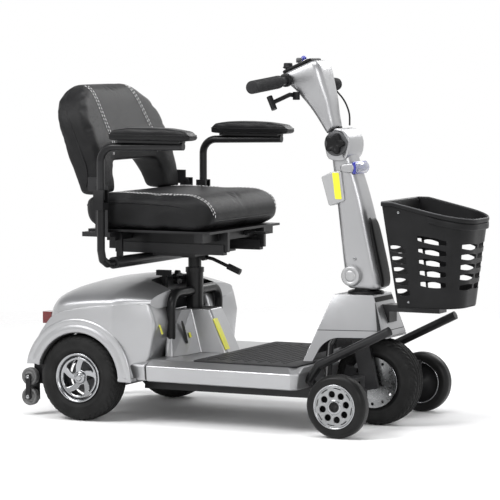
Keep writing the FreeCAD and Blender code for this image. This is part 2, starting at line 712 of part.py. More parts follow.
def side_panel(label):
    """Right side of the rear body: a skin that turns in at the front, the arch lip and its roof."""
    side = prism("XZ_Plane", [
        ("arch_x + arch_inner", "wheel_radius"), ("158", "wheel_radius + 2"), ("172", "134"),
        ("184", "171"), ("197", "247"), ("184", "300"), ("110", "300"), ("62", "296"), ("-20", "283"),
        ("-66", "272"), ("-100", "226"), ("-146", "140"),
        ("arch_x - 0.9653 * arch_inner", "140.04", "-arch_inner"),
    ], "300", "240", symmetric=True)
    plan = prism("XY_Plane", [
        ("-150", "-panel_outer"), ("100", "-panel_outer"), ("201", "-234"), ("201", "-226"),
        ("100", "5 - panel_outer"), ("-150", "5 - panel_outer")], "800")
    band = [
        ("arch_x + arch_inner", "wheel_radius"), ("arch_x + arch_outer", "wheel_radius", "arch_outer"),
        ("-146", "140"), ("arch_x - 0.9653 * arch_inner", "140.04", "-arch_inner")]
    lip = prism("XZ_Plane", band, "6", "lip_outer - 6", symmetric=False)
    lining = [
        ("arch_x + arch_inner", "wheel_radius"),
        ("arch_x + arch_inner + 4", "wheel_radius", "arch_inner + 4"),
        ("arch_x - 0.9653 * (arch_inner + 4)", "141.1"),
        ("arch_x - 0.9653 * arch_inner", "140.04", "-arch_inner")]
    roof = prism("XZ_Plane", lining, "82", "206", symmetric=False)
    item = fuse([common(side, plan), lip, roof])
    return keep(label, place(item, "rear_axle"))


def pedestal_cover():
    """Cover round the foot of the seat post: a narrow prow with two wings, open above and below."""
    owner = body("pedestal_cover")
    sections = [
        outline(owner, "XY_Plane", [
            ("197", "-176"), ("214", "-172"), ("232", "-prow_half - 6"), ("302", "-prow_half"),
            ("302", "prow_half"), ("232", "prow_half + 6"), ("214", "172"), ("197", "176")],
            "deck_top"),
        outline(owner, "XY_Plane", [
            ("160", "-102"), ("172", "-98"), ("200", "-prow_half"), ("251", "-prow_half + 4"),
            ("251", "prow_half - 4"), ("200", "prow_half"), ("172", "98"), ("160", "102")],
            "pedestal_top"),
    ]
    loft = owner.newObject("PartDesign::AdditiveLoft", "pedestal_loft")
    loft.Profile = sections[0]
    loft.Sections = [sections[1]]
    loft.Ruled = True
    inner = [
        outline(owner, "XY_Plane", [
            ("180", "-172"), ("211", "-168"), ("229", "-prow_half - 2"), ("298", "-prow_half + 4"),
            ("298", "prow_half - 4"), ("229", "prow_half + 2"), ("211", "168"), ("180", "172")],
            "deck_top - 0.5"),
        outline(owner, "XY_Plane", [
            ("143", "-98"), ("169", "-94"), ("197", "-prow_half + 4"), ("247", "-prow_half + 8"),
            ("247", "prow_half - 8"), ("197", "prow_half - 4"), ("169", "94"), ("143", "98")],
            "pedestal_top - 4"),
    ]
    hollow = owner.newObject("PartDesign::SubtractiveLoft", "pedestal_hollow")
    hollow.Profile = inner[0]
    hollow.Sections = [inner[1]]
    hollow.Ruled = True
    pocket(owner, outline(owner, "XY_Plane", [
        ("150", "-70"), ("218", "-34"), ("218", "34"), ("150", "70")], "pedestal_top"), "12")
    for side in (-1, 1):
        pocket(owner, outline(owner, "XY_Plane", [
            ("130", "%d * 200" % side), ("183", "%d * 200" % side), ("172.5", "%d * 168" % side),
            ("172.5", "%d * 107.8" % side), ("130", "%d * 107.8" % side)], "pedestal_top"))
    sleeve = "hoop_radius + 2"
    pocket(owner, circles(owner, "XY_Plane", [
        ("post_x", "-hoop_half", sleeve), ("post_x", "hoop_half", sleeve)], "pedestal_top"))
    return place(owner, "rear_axle")


def tail_lights():
    """One red lamp at each rear corner of the body."""
    lamps = []
    for side in (-1, 1):
        lamps.append(box((at_axle("-146"), at_axle("body_rear - 0.5")),
                         ("%d * 186 - 17" % side, "%d * 186 + 17" % side), ("236", "266")))
    return keep("tail_lights", compound(lamps))


def front_cover():
    """Tapered cover over the steering head, open below and over the wheel, with a hole for the stem."""
    def sections(owner, wall, low, high):
        return [
            outline(owner, "XY_Plane", [
                ("542 + %s" % wall, "-148 + %s" % wall), ("756 - %s" % wall, "-112 + %s" % wall),
                ("756 - %s" % wall, "112 - %s" % wall), ("542 + %s" % wall, "148 - %s" % wall)], low),
            outline(owner, "XY_Plane", [
                ("612 + %s" % wall, "-66 + %s" % wall), ("716 - %s" % wall, "-58 + %s" % wall),
                ("716 - %s" % wall, "58 - %s" % wall), ("612 + %s" % wall, "66 - %s" % wall)], high)]

    owner = body("front_cover")
    for kind, wall, low, high in (("Additive", "0", "168", "330"),
                                  ("Subtractive", "shell_wall", "167.9", "326")):
        rings = sections(owner, wall, low, high)
        loft = owner.newObject("PartDesign::%sLoft" % kind, "cover_" + kind.lower())
        loft.Profile = rings[0]
        loft.Sections = [rings[1]]
        loft.Ruled = True
    doc.recompute()
    pocket(owner, circles(owner, "XY_Plane", [("667", "0", "38")], "300"), "60", reverse=True)
    arch = outline(owner, "XZ_Plane", [
        ("584", "150"), ("800", "150"), ("800", "224"), ("636", "224"), ("602", "206"), ("588", "184")])
    pocket(owner, arch, symmetric=True)
    pocket(owner, outline(owner, "YZ_Plane", [
        ("-27", "220"), ("27", "220"), ("27", "310"), ("-27", "310")], "698"), reverse=True)
    return place(owner, "rear_axle")


def front_cover_panel():
    """Dark panel on the sloping front of the steering cover, beside the basket bracket."""
    slope = number("756 - 716") / number("330 - 168")
    front = prism("XZ_Plane", [
        ("756.4 - %.5f * (228 - 168)" % slope, "228"), ("758.4 - %.5f * (228 - 168)" % slope, "228"),
        ("758.4 - %.5f * (324 - 168)" % slope, "324"), ("756.4 - %.5f * (324 - 168)" % slope, "324"),
    ], "300")
    halves = [[("%d * 29" % side, "228"), ("%d * 88" % side, "228"), ("%d * 54" % side, "324"),
               ("%d * 29" % side, "324")] for side in (-1, 1)]
    outlines = [prism("YZ_Plane", half, "1000", symmetric=False) for half in halves]
    bridge = prism("YZ_Plane", [("-29", "312"), ("29", "312"), ("29", "324"), ("-29", "324")], "1000",
                   symmetric=False)
    item = common(front, fuse(outlines + [bridge]))
    return keep("front_cover_panel", place(item, "rear_axle"))


deck_tray()
deck_mat()
rear_cowl()
side_panel("side_panel_right")
mirrored("side_panel_left", nodes["side_panel_right"])
pedestal_cover()
tail_lights()
front_cover()
front_cover_panel()


# ---------------------------------------------------------------- tiller
TILLER_REAR = [("648", "337"), ("640", "358"), ("639", "440"), ("625", "514"), ("614", "552"),
               ("595", "664"), ("591", "690")]
TILLER_FRONT = [("613", "743"), ("637", "727"), ("650", "676"), ("655", "640"), ("676", "570"),
                ("708", "464"), ("729", "389"), ("731", "352"), ("726", "341")]


def inset(points, shift):
    return [("%s + %s" % (x, shift), z) for x, z in points]


def tiller_shell():
    """Two-sided shell of the steering column, open below, with a round seat for the tilt barrel."""
    owner = body("tiller_shell")
    pad(owner, outline(owner, "XZ_Plane", TILLER_REAR + TILLER_FRONT), "2 * tiller_half", True)
    round_edges(owner, "9", lambda edge, p: on_side(p, "tiller_half") and p.x > 655 and 350 < p.z < 650)
    rear = inset(TILLER_REAR[1:], "4")
    front = inset(TILLER_FRONT[2:-2], "-12")
    pocket(owner, outline(owner, "XZ_Plane", [("646", "330")] + rear + front + [("718", "330")]),
           "2 * tiller_half - 8", True)
    pocket(owner, circles(owner, "XZ_Plane", [("tilt_x", "tilt_z", "30.2")]), symmetric=True)
    pocket(owner, outline(owner, "XZ_Plane", [
        ("560", "714"), ("660", "714"), ("660", "770"), ("560", "770")]), "27", True)
    pocket(owner, outline(owner, "XZ_Plane", [
        ("630", "330"), ("654", "330"), ("648", "404"), ("630", "404")]), "74", True)
    return place(owner, "rear_axle")


def tiller_panel():
    """Black front panel of the lower column."""
    points = [("705.4", "478"), ("709.4", "481"), ("731.6", "391"), ("734", "352"), ("728", "342"),
              ("726.8", "342"), ("731.4", "352.2"), ("729.4", "389.2")]
    owner = body("tiller_panel")
    pad(owner, outline(owner, "XZ_Plane", points), "60", True)
    return place(owner, "rear_axle")


def tiller_column():
    """Steel column inside the shell, from the fold pivot's eye up to the tilt barrel."""
    tube = rod([(at_axle("655"), "0", "388"), (at_axle("657.5"), "0", "440"), (at_axle("641"), "0", "522"),
                (at_axle("629"), "0", "580"), (at_axle("614"), "0", "670")], "11.5")
    eye = cylinder(at_axle("fold_x"), "-24", "fold_z", "18", "48", "y")
    bore = cylinder(at_axle("fold_x"), "-30", "fold_z", "6 + running_gap", "60", "y")
    return keep("tiller_column", cut(fuse([tube, eye]), [bore]))


def tilt_barrel():
    """Round joint between column and head: two drums on one pin."""
    drums = [cylinder(at_axle("tilt_x"), start, "tilt_z", "30", "33", "y") for start in ("-46", "13")]
    pin = cylinder(at_axle("tilt_x"), "-20", "tilt_z", "8", "40", "y")
    return keep("tilt_barrel", fuse(drums + [pin]))


def headlamp():
    """Lamp that wraps round the column: barrel and a clear front."""
    owner = body("headlamp")
    pad(owner, outline(owner, "XZ_Plane", [
        ("660.3", "624"), ("668", "624"), ("672", "640"), ("668", "656"), ("653", "658"),
        ("655.4", "640")]), "80", True)
    return place(owner, "rear_axle")


def stowage_box():
    """Flat box on the rear of the column."""
    owner = body("stowage_box")
    pad(owner, outline(owner, "XZ_Plane", [
        ("588", "546"), ("611.5", "553"), ("594.6", "655"), ("590", "652"), ("593", "635"), ("566", "624")]),
        "76", True)
    return place(owner, "rear_axle")


tiller_shell()
tiller_panel()
tiller_column()
tilt_barrel()
headlamp()
stowage_box()


# ---------------------------------------------------------------- head
def head_shell():
    """Curved control head with the lug that hangs on the tilt barrel's pin."""
    owner = body("head_shell")
    pad(owner, outline(owner, "XZ_Plane", [
        ("573", "726", "-41"), ("602", "746"), ("594", "775", "400"), ("572", "850"),
        ("563", "882"), ("558", "905"), ("544", "916"), ("500", "905"), ("452", "878"),
        ("462", "858"), ("482", "842"), ("500", "830"), ("514", "813"), ("549", "768")]),
        "2 * head_half", True)
    round_edges(owner, "14", lambda edge, p: on_side(p, "head_half") and p.x > 565 and p.z > 750)
    neck = outline(owner, "XZ_Plane", [
        ("590", "705"), ("608", "729"), ("601", "748"), ("574", "730")])
    pad(owner, neck, "24", True)
    pad(owner, circles(owner, "XZ_Plane", [("tilt_x", "tilt_z", "26")]), "24", True)
    pocket(owner, circles(owner, "XZ_Plane", [
        ("476", "862", "11.1"), ("tilt_x", "tilt_z", "8 + running_gap")]), symmetric=True)
    return place(owner, "rear_axle")


head_shell()


def handlebar():
    """One bar through the head, drooping slightly to each side."""
    droop = [(at_axle("476"), "-250", "grip_z - 0.5"), (at_axle("476"), "-46", "862"),
             (at_axle("476"), "46", "862"), (at_axle("476"), "250", "grip_z - 0.5")]
    return keep("handlebar", rod(droop, "11"))


def handlebar_grips():
    """Two rubber sleeves with closed ends."""
    sleeves = []
    for side in (-1, 1):
        inner = Vector(number(at_axle("476")), side * 46, 862)
        outer = Vector(number(at_axle("476")), side * 250, number("grip_z - 0.5"))
        along = (outer - inner).normalize()
        sleeve = doc.addObject("Part::Cylinder", "sleeve")
        sleeve.Placement = Placement(inner + along * 36, Rotation(Vector(0, 0, 1), along))
        sleeve.Radius = 15.5
        sleeve.Height = 174
        core = doc.addObject("Part::Cylinder", "core")
        core.Placement = Placement(inner - along * 4, sleeve.Placement.Rotation)
        core.Radius = 11.02
        core.Height = 209
        sleeves.append(cut(sleeve, [core]))
    return keep("handlebar_grips", compound(sleeves))


def drive_lever():
    """T-shaped lever that comes out of the head's underside on a vertical pivot."""
    arm = rod([(at_axle("498"), "-44", "824"), (at_axle("490"), "-64", "826"),
               (at_axle("466"), "-118", "806")], "5.5")
    handle = rod([(at_axle("458"), "-116", "822"), (at_axle("474"), "-120", "790")], "7.5")
    hub = cylinder(at_axle("502"), "-43", "813", "9", "20")
    hub.setExpression("Placement.Base.y", bound("-51"))
    return keep("drive_lever", fuse([arm, handle, hub]))


def speed_dial():
    """Black knob on the rear of the console."""
    knob = fuse([cylinder(at_axle("462"), "-14", "888", "4", "8"),
                 cylinder(at_axle("462"), "-14", "894", "12", "11")])
    return keep("speed_dial", knob)


def horn_button():
    button = fuse([cylinder(at_axle("492"), "-12", "905", "4.5", "6"),
                   cylinder(at_axle("492"), "-12", "909", "8", "9")])
    return keep("horn_button", button)


def head_cable():
    """Short cable that the head holds beside the column's top."""
    owner = body("head_cable")
    pipe(owner, "XZ_Plane", [("606", "747.5"), ("606", "778"), ("592", "811"), ("566", "838")], None,
         "XY_Plane", ("606", "0"), "2.2", start_offset="747.5")
    return place(owner, "rear_axle", "45")


handlebar()
handlebar_grips()
drive_lever()
speed_dial()
horn_button()
head_cable()


# ---------------------------------------------------------------- seat
def seat_post():
    """Inner post with the flange that carries the swivel."""
    shaft = cylinder(at_axle("post_x"), "0", "rail_high + 60", "post_radius", "404 - rail_high - 60")
    flange = cylinder(at_axle("post_x"), "0", "404", "36", "8")
    collar = cut(cylinder(at_axle("post_x"), "0", "socket_top + 0.2", "24", "12"),
                 [cylinder(at_axle("post_x"), "0", "socket_top - 1", "post_radius - 1", "20")])
    return keep("seat_post", fuse([shaft, flange, collar]))


def swivel_base():
    """Turning plate with two channel rails."""
    blocks = [cylinder(at_axle("post_x"), "0", "412.2", "40", "8"),
              box((at_axle("130"), at_axle("250")), ("-118", "118"), ("414", "420.2"))]
    for side in (-1, 1):
        rail = ("%d * 106 - 10" % side, "%d * 106 + 10" % side)
        slot = ("%d * 106 - 6.2" % side, "%d * 106 + 6.2" % side)
        blocks.append(cut(box((at_axle("20"), at_axle("330")), rail, ("420", "446")),
                          [box((at_axle("10"), at_axle("340")), slot, ("426", "450"))]))
    return keep("swivel_base", fuse(blocks))


def seat_frame():
    """Sliding upper rails, ribs, seat pan, backrest ears and the cross tube for the armrests."""
    blocks = [box((at_axle("-10"), at_axle("336")), ("-205", "205"), ("478", "484"))]
    for x in ("44", "292"):
        blocks.append(box((at_axle(x), at_axle(x + " + 24")), ("-205", "205"), ("456", "478")))
    for side in (-1, 1):
        runner = ("%d * 106 - 6" % side, "%d * 106 + 6" % side)
        blocks.append(box((at_axle("0"), at_axle("340")), runner, ("428", "478")))
        web = ("%d * 186 - 4" % side, "%d * 186 + 4" % side)
        blocks.append(box((at_axle("arm_x - 8"), at_axle("arm_x + 8")), web, ("crossbar_z", "478")))
    blocks.append(cylinder(at_axle("arm_x"), "-222", "crossbar_z", "15", "444", "y"))
    bore = cylinder(at_axle("arm_x"), "-230", "crossbar_z", "arm_tube + running_gap", "460", "y")
    frame = cut(fuse(blocks), [bore])
    ears = [box((at_axle("-10"), at_axle("70")), ("-237", "237"), ("466", "478"))]
    for side in (-1, 1):
        ear = ("232", "237") if side > 0 else ("-237", "-232")
        ears.append(box((at_axle("28"), at_axle("64")), ear, ("466", "back_hinge_z + 14")))
        start = "226" if side > 0 else "-237"
        ears.append(cylinder(at_axle("back_hinge_x"), start, "back_hinge_z", "5", "11", "y"))
    return keep("seat_frame", fuse([frame] + ears))


def seat_cushion():
    """Thick pad with a waterfall front and cut corners; its cover and crown are soft."""
    side = doc.addObject("PartDesign::Body", "cushion_side")
    pad(side, outline(side, "XZ_Plane", [
        ("6", "seat_low"), ("326", "seat_low"), ("345", "506"), ("seat_front", "530"),
        ("330", "560"), ("290", "570"), ("60", "seat_top"), ("-24", "566"), ("seat_rear", "540"),
        ("-22", "508")]), "2 * seat_half", True)
    round_edges(side, "16", lambda edge, p: on_side(p, "seat_half") and p.z > 550)
    plan = prism("XY_Plane", [
        ("seat_rear - 1", "-seat_half + 24"), ("seat_rear + 22", "-seat_half"),
        ("seat_front - 44", "-seat_half"), ("seat_front - 14", "-seat_half + 16"),
        ("seat_front + 1", "-seat_half + 44"), ("seat_front + 1", "seat_half - 44"),
        ("seat_front - 14", "seat_half - 16"), ("seat_front - 44", "seat_half"),
        ("seat_rear + 22", "seat_half"), ("seat_rear - 1", "seat_half - 24")],
        "120", "seat_low - 10", symmetric=False)
    return keep("seat_cushion", place(common(side, plan), "rear_axle"))


def backrest():
    """Reclined back shell with two legs that reach down beside an open window."""
    owner = body("backrest")
    pad(owner, outline(owner, "XZ_Plane", [
        ("-26", "577"), ("40", "577"), ("38", "604"), ("12", "700"), ("-40", "806"), ("-68", "850"),
        ("-88", "back_top"), ("-106", "852"), ("-114", "826"), ("-92", "740"), ("-66", "660")]),
        "2 * seat_half", True)
    pocket(owner, outline(owner, "YZ_Plane", [
        ("-142", "560"), ("142", "560"), ("142", "612"), ("118", "646"), ("-118", "646"),
        ("-142", "612")], "-200"), reverse=True)
    for side in (-1, 1):
        pocket(owner, outline(owner, "YZ_Plane", [
            ("%d * 226" % side, "770"), ("%d * 226" % side, "870"), ("%d * 140" % side, "870"),
            ("%d * 190" % side, "846"), ("%d * 216" % side, "810")], "-200"), reverse=True)
    return place(owner, "rear_axle")


def backrest_brackets():
    """Flat bars screwed to the legs, each with an eye on the ear's pin."""
    bars = []
    for side in (-1, 1):
        span = ("225.4", "231.6") if side > 0 else ("-231.6", "-225.4")
        start = "225.4" if side > 0 else "-231.6"
        plate = fuse([box((at_axle("back_hinge_x - 42"), at_axle("back_hinge_x")), span,
                          ("back_hinge_z - 2", "back_hinge_z + 34")),
                      cylinder(at_axle("back_hinge_x"), start, "back_hinge_z", "12", "6.2", "y")])
        hole = cylinder(at_axle("back_hinge_x"), start + " - 1", "back_hinge_z",
                        "5 + running_gap", "9", "y")
        bars.append(cut(plate, [hole]))
    return keep("backrest_brackets", compound(bars))


def arm_post(name, side):
    """L-shaped tube that slides in the cross tube, with a forked collar on top."""
    y = "%d * arm_half" % side
    inner = "%d * 96" % side
    blocks = [rod([(at_axle("arm_x"), inner, "crossbar_z"), (at_axle("arm_x"), "%d * 252" % side,
                   "crossbar_z"), (at_axle("arm_x"), "%d * 277" % side, "crossbar_z + 12"),
                   (at_axle("arm_x"), y, "crossbar_z + 36"), (at_axle("arm_x"), y, "552")], "arm_tube")]
    blocks.append(box((at_axle("arm_x - 14"), at_axle("arm_x + 14")), (y + " - 15", y + " + 15"),
                      ("538", "556")))
    for shift in ("-15", "11"):
        blocks.append(box((at_axle("arm_x - 14"), at_axle("arm_x + 14")),
                          (y + " + %s" % shift, y + " + %s + 4" % shift), ("538", "588")))
    blocks.append(cylinder(at_axle("arm_x"), y + " - 15", "arm_hinge_z", "4", "30", "y"))
    return keep("arm_post_" + name, fuse(blocks))


def arm_tube(name, side):
    """Upper armrest tube: upright, bent forward under the pad, pivoting in the collar."""
    owner = body("arm_tube_" + name)
    pipe(owner, "XZ_Plane", [("arm_x", "arm_hinge_z - 12"), ("arm_x", "arm_top - 4"),
                             ("pad_front - 26", "arm_top + 1")], "38", "XY_Plane",
         ("arm_x", "0"), "arm_tube", start_offset="arm_hinge_z - 12")
    hole = circles(owner, "XZ_Plane", [("arm_x", "arm_hinge_z", "4 + running_gap")])
    pocket(owner, hole, symmetric=True)
    bed = outline(owner, "XZ_Plane", [
        ("pad_rear + 22", "arm_top + 8"), ("pad_front - 30", "arm_top + 8"),
        ("pad_front - 30", "arm_top + 14"), ("pad_rear + 22", "arm_top + 14")])
    pad(owner, bed, "36", True)
    return place(owner, "rear_axle", "%d * arm_half" % side)


def arm_pad(name, side):
    owner = body("arm_pad_" + name)
    pad(owner, outline(owner, "XZ_Plane", [
        ("pad_rear", "arm_top + 14.5"), ("pad_front", "arm_top + 14.5"), ("pad_front + 2", "arm_top + 26"),
        ("pad_front - 12", "arm_top + 38"), ("pad_front - 60", "arm_top + 44"),
        ("pad_rear + 50", "arm_top + 45"), ("pad_rear + 12", "arm_top + 40"),
        ("pad_rear - 2", "arm_top + 28")]), "50", True)
    return place(owner, "rear_axle", "%d * arm_half" % side)


def swivel_lever():
    """Hand lever that lets the seat turn, hanging below the front of the swivel."""
    lever = rod([(at_axle("238"), "-40", "408"), (at_axle("262"), "-40", "404"),
                 (at_axle("312"), "-40", "384")], "4.5")
    grip = rod([(at_axle("306"), "-40", "386.4"), (at_axle("340"), "-40", "372.8")], "8")
    hub = cylinder(at_axle("238"), "-50", "406", "7", "20", "y")
    return keep("swivel_lever", fuse([lever, grip, hub]))


def slide_lever():
    """Flat lever below the front edge of the seat that frees the fore-and-aft slide."""
    lever = box((at_axle("318"), at_axle("376")), ("34", "58"), ("466", "471"))
    hub = cylinder(at_axle("322"), "30", "468", "6", "32", "y")
    return keep("slide_lever", fuse([lever, hub]))


def post_knob():
    """Star knob that clamps the post; its screw enters the socket's side."""
    screw = cylinder(at_axle("post_x - 46"), "0", "socket_top - 16", "4", "24", "x")
    hub = cylinder(at_axle("post_x - 56"), "0", "socket_top - 16", "9", "12", "x")
    wings = []
    for k in range(5):
        angle = 2 * math.pi * k / 5
        wings.append(cylinder(at_axle("post_x - 56"), "%.3f" % (12 * math.sin(angle)),
                              "socket_top - 16 + %.3f" % (12 * math.cos(angle)), "6.5", "12", "x"))
    return keep("post_knob", fuse([screw, hub] + wings))


def release_lever():
    """Upright T-handled lever on the left of the tower that frees the drive for pushing."""
    stem = box((at_axle("129"), at_axle("139")), ("-66", "-54"), ("190", "362"))
    handle = box((at_axle("112"), at_axle("150")), ("-67", "-53"), ("358", "372"))
    hub = cylinder(at_axle("134"), "-72", "190", "12", "24", "y")
    return keep("release_lever", fuse([stem, handle, hub]))


seat_post()
swivel_base()
seat_frame()
seat_cushion()
backrest()
backrest_brackets()
for side, name in ((-1, "right"), (1, "left")):
    arm_post(name, side)
    arm_tube(name, side)
    arm_pad(name, side)
swivel_lever()
slide_lever()
post_knob()
release_lever()


# ---------------------------------------------------------------- basket
def basket():
    """Tapered plastic basket: round front corners, sloping rim and rows of slots."""
    owner = body("basket")

    def ring(rear, front, half, radius, height):
        flat = "%s - %s" % (half, radius)
        return outline(owner, "XY_Plane", [
            (rear, "-(%s)" % half), ("%s - %s" % (front, radius), "-(%s)" % half, radius),
            (front, "-(%s)" % flat), (front, flat, radius), ("%s - %s" % (front, radius), half),
            (rear, half)], height)

    for kind, wall in (("Additive", "0"), ("Subtractive", "basket_wall")):
        low = ring("800 + %s" % wall, "952 - %s" % wall, "100 - %s" % wall, "76 - %s" % wall,
                   "basket_low + %s" % wall)
        high = ring("basket_rear + %s" % wall, "basket_front - %s" % wall, "basket_half - %s" % wall,
                    "92 - %s" % wall, "basket_top")
        loft = owner.newObject("PartDesign::%sLoft" % kind, "basket_" + kind.lower())
        loft.Profile = low
        loft.Sections = [high]
        loft.Ruled = True
    doc.recompute()
    slope = outline(owner, "XZ_Plane", [
        ("740", "basket_top + 0.5"), ("basket_rear + 30", "basket_top"), ("1000", "519"),
        ("1000", "600"), ("740", "600")])
    pocket(owner, slope, symmetric=True)
    for k in range(5):
        low = 346 + 28 * k
        side_slot = outline(owner, "XZ_Plane", [
            ("%.1f" % (826 - 2 * k), str(low)), ("892", str(low)), ("892", str(low + 13)),
            ("%.1f" % (826 - 2 * k), str(low + 13))])
        pocket(owner, side_slot, symmetric=True)
        front_slot = outline(owner, "YZ_Plane", [
            ("-46", str(low)), ("46", str(low)), ("46", str(low + 13)), ("-46", str(low + 13))], "900")
        pocket(owner, front_slot, reverse=True)
    return place(owner, "rear_axle")


basket()


# ---------------------------------------------------------------- export
doc.recompute()
for item in doc.Objects:
    if "Invalid" in item.State or "Error" in item.State:
        raise RuntimeError(item.Label + ": " + ", ".join(item.State))
for label, item in nodes.items():
    if item.Shape.isNull() or not item.Shape.isValid():
        raise RuntimeError(label + ": the shape is empty or invalid")
for label, item in nodes.items():
    item.Shape.exportStep("parts/%s.step" % label)
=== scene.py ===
import math

import bmesh
import bpy
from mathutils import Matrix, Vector
from mathutils.bvhtree import BVHTree


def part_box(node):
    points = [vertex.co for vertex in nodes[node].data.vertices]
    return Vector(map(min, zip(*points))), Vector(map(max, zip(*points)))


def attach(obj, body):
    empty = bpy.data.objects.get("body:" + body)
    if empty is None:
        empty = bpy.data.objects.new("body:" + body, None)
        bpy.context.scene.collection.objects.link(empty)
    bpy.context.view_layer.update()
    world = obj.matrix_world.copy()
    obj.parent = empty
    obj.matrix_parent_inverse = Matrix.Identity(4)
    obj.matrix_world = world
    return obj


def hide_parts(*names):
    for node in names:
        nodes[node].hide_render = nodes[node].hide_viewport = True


# Looks of a five-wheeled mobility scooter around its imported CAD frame. Shapes are written in
# millimetres, with x counted forward from the rear axle, y to the rider's left and z up.

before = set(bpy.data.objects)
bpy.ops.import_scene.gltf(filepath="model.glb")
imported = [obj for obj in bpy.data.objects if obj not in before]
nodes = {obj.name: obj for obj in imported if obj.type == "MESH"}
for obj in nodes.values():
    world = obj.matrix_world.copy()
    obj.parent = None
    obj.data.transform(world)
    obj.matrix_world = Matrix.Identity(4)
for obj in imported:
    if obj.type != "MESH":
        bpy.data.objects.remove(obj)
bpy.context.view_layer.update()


def middle(node):
    low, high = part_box(node)
    return (low + high) / 2


AXLE = middle("rear_rim_right").x
MM = 0.001
HALVES = (("right", -1), ("left", 1))


def at(x, y, z):
    """A point in millimetres from the rear axle, in the row frame."""
    return Vector((AXLE + x * MM, y * MM, z * MM))


def shown(name, data):
    """New object in the scene."""
    item = bpy.data.objects.new(name, data)
    bpy.context.scene.collection.objects.link(item)
    return item


# ---------------------------------------------------------------- materials
def new_material(name):
    item = bpy.data.materials.new(name)
    item.use_nodes = True
    tree = item.node_tree
    return item, tree, tree.nodes["Principled BSDF"]


def add(tree, kind, **values):
    node = tree.nodes.new("ShaderNode" + kind)
    for key, value in values.items():
        if key in node.inputs:
            node.inputs[key].default_value = value
        else:
            setattr(node, key, value)
    return node


def wire(tree, source, output, target, into):
    tree.links.new(source.outputs[output], target.inputs[into])


def surface(name, colour, rough, metal=0.0, coat=0.0, coat_rough=0.1, spread=0.15, spread_scale=14.0,
            grain=0.0, grain_scale=900.0, grain_kind="NOISE", rough_spread=0.08, specular=0.5,
            stretch=(1, 1, 1), wear=0.0, wear_colour=(0.3, 0.3, 0.3)):
    """Finish with slow colour drift, uneven gloss, a fine bump and optional rubbed edges."""
    item, tree, shader = new_material(name)
    place = add(tree, "TexCoord")
    scaled = add(tree, "Mapping")
    scaled.inputs["Scale"].default_value = stretch
    wire(tree, place, "Object", scaled, "Vector")
    drift = add(tree, "TexNoise", Scale=spread_scale, Detail=4.0)
    wire(tree, scaled, "Vector", drift, "Vector")
    ramp = add(tree, "ValToRGB")
    dark = [c * (1 - spread) for c in colour]
    light = [min(1.0, c * (1 + spread)) for c in colour]
    ramp.color_ramp.elements[0].position = 0.3
    ramp.color_ramp.elements[1].position = 0.7
    ramp.color_ramp.elements[0].color = (*dark, 1)
    ramp.color_ramp.elements[1].color = (*light, 1)
    wire(tree, drift, "Fac", ramp, "Fac")
    tint = ramp.outputs["Color"]
    if wear:
        edge = add(tree, "NewGeometry")
        pick = add(tree, "ValToRGB")
        pick.color_ramp.elements[0].position = 0.52
        pick.color_ramp.elements[1].position = 0.62
        wire(tree, edge, "Pointiness", pick, "Fac")
        share = add(tree, "Math", operation="MULTIPLY")
        share.inputs[1].default_value = wear
        tree.links.new(pick.outputs["Color"], share.inputs[0])
        mix = add(tree, "MixRGB")
        mix.inputs[2].default_value = (*wear_colour, 1)
        tree.links.new(share.outputs[0], mix.inputs[0])
        tree.links.new(tint, mix.inputs[1])
        tint = mix.outputs[0]
    tree.links.new(tint, shader.inputs["Base Color"])
    gloss = add(tree, "MapRange")
    gloss.inputs["To Min"].default_value = rough - rough_spread
    gloss.inputs["To Max"].default_value = rough + rough_spread
    fine = add(tree, "TexNoise", Scale=spread_scale * 6, Detail=3.0)
    wire(tree, scaled, "Vector", fine, "Vector")
    wire(tree, fine, "Fac", gloss, "Value")
    wire(tree, gloss, "Result", shader, "Roughness")
    for key, value in (("Metallic", metal), ("Coat Weight", coat), ("Coat Roughness", coat_rough),
                       ("Specular IOR Level", specular)):
        shader.inputs[key].default_value = value
    if grain:
        bump = add(tree, "Bump", Strength=grain, Distance=0.0006)
        if grain_kind == "NOISE":
            source = add(tree, "TexNoise", Scale=grain_scale, Detail=3.0)
            wire(tree, scaled, "Vector", source, "Vector")
            height = source.outputs["Fac"]
        elif grain_kind == "LEATHER":
            source = add(tree, "TexVoronoi", Scale=grain_scale, feature="DISTANCE_TO_EDGE")
            wire(tree, scaled, "Vector", source, "Vector")
            creases = add(tree, "ValToRGB")
            creases.color_ramp.elements[1].position = 0.22
            wire(tree, source, "Distance", creases, "Fac")
            height = creases.outputs["Color"]
        else:
            source = add(tree, "TexWave", Scale=grain_scale, bands_direction=grain_kind)
            wire(tree, scaled, "Vector", source, "Vector")
            height = source.outputs["Fac"]
        tree.links.new(height, bump.inputs["Height"])
        wire(tree, bump, "Normal", shader, "Normal")
    return item


SILVER = surface("silver_paint", (0.36, 0.362, 0.37), 0.36, metal=0.8, coat=0.45, coat_rough=0.1,
                 spread=0.05, spread_scale=6.0, grain=0.05, grain_scale=2200.0, rough_spread=0.04)
SILVER_SATIN = surface("silver_satin", (0.37, 0.372, 0.376), 0.44, metal=0.6, coat=0.15, spread=0.05,
                       spread_scale=8.0, grain=0.06, grain_scale=1500.0, rough_spread=0.05)
LEATHER = surface("black_leather", (0.008, 0.008, 0.0085), 0.42, spread=0.25, spread_scale=18.0,
                  grain=0.35, grain_scale=520.0, grain_kind="LEATHER", rough_spread=0.09, specular=0.16)
PAD_SKIN = surface("pad_skin", (0.008, 0.008, 0.0085), 0.34, spread=0.2, spread_scale=20.0, grain=0.2,
                   grain_scale=700.0, grain_kind="LEATHER", rough_spread=0.08, specular=0.16)
PLASTIC = surface("moulded_black", (0.009, 0.009, 0.0095), 0.4, spread=0.2, spread_scale=24.0,
                  grain=0.2, grain_scale=1300.0, rough_spread=0.07, specular=0.16)
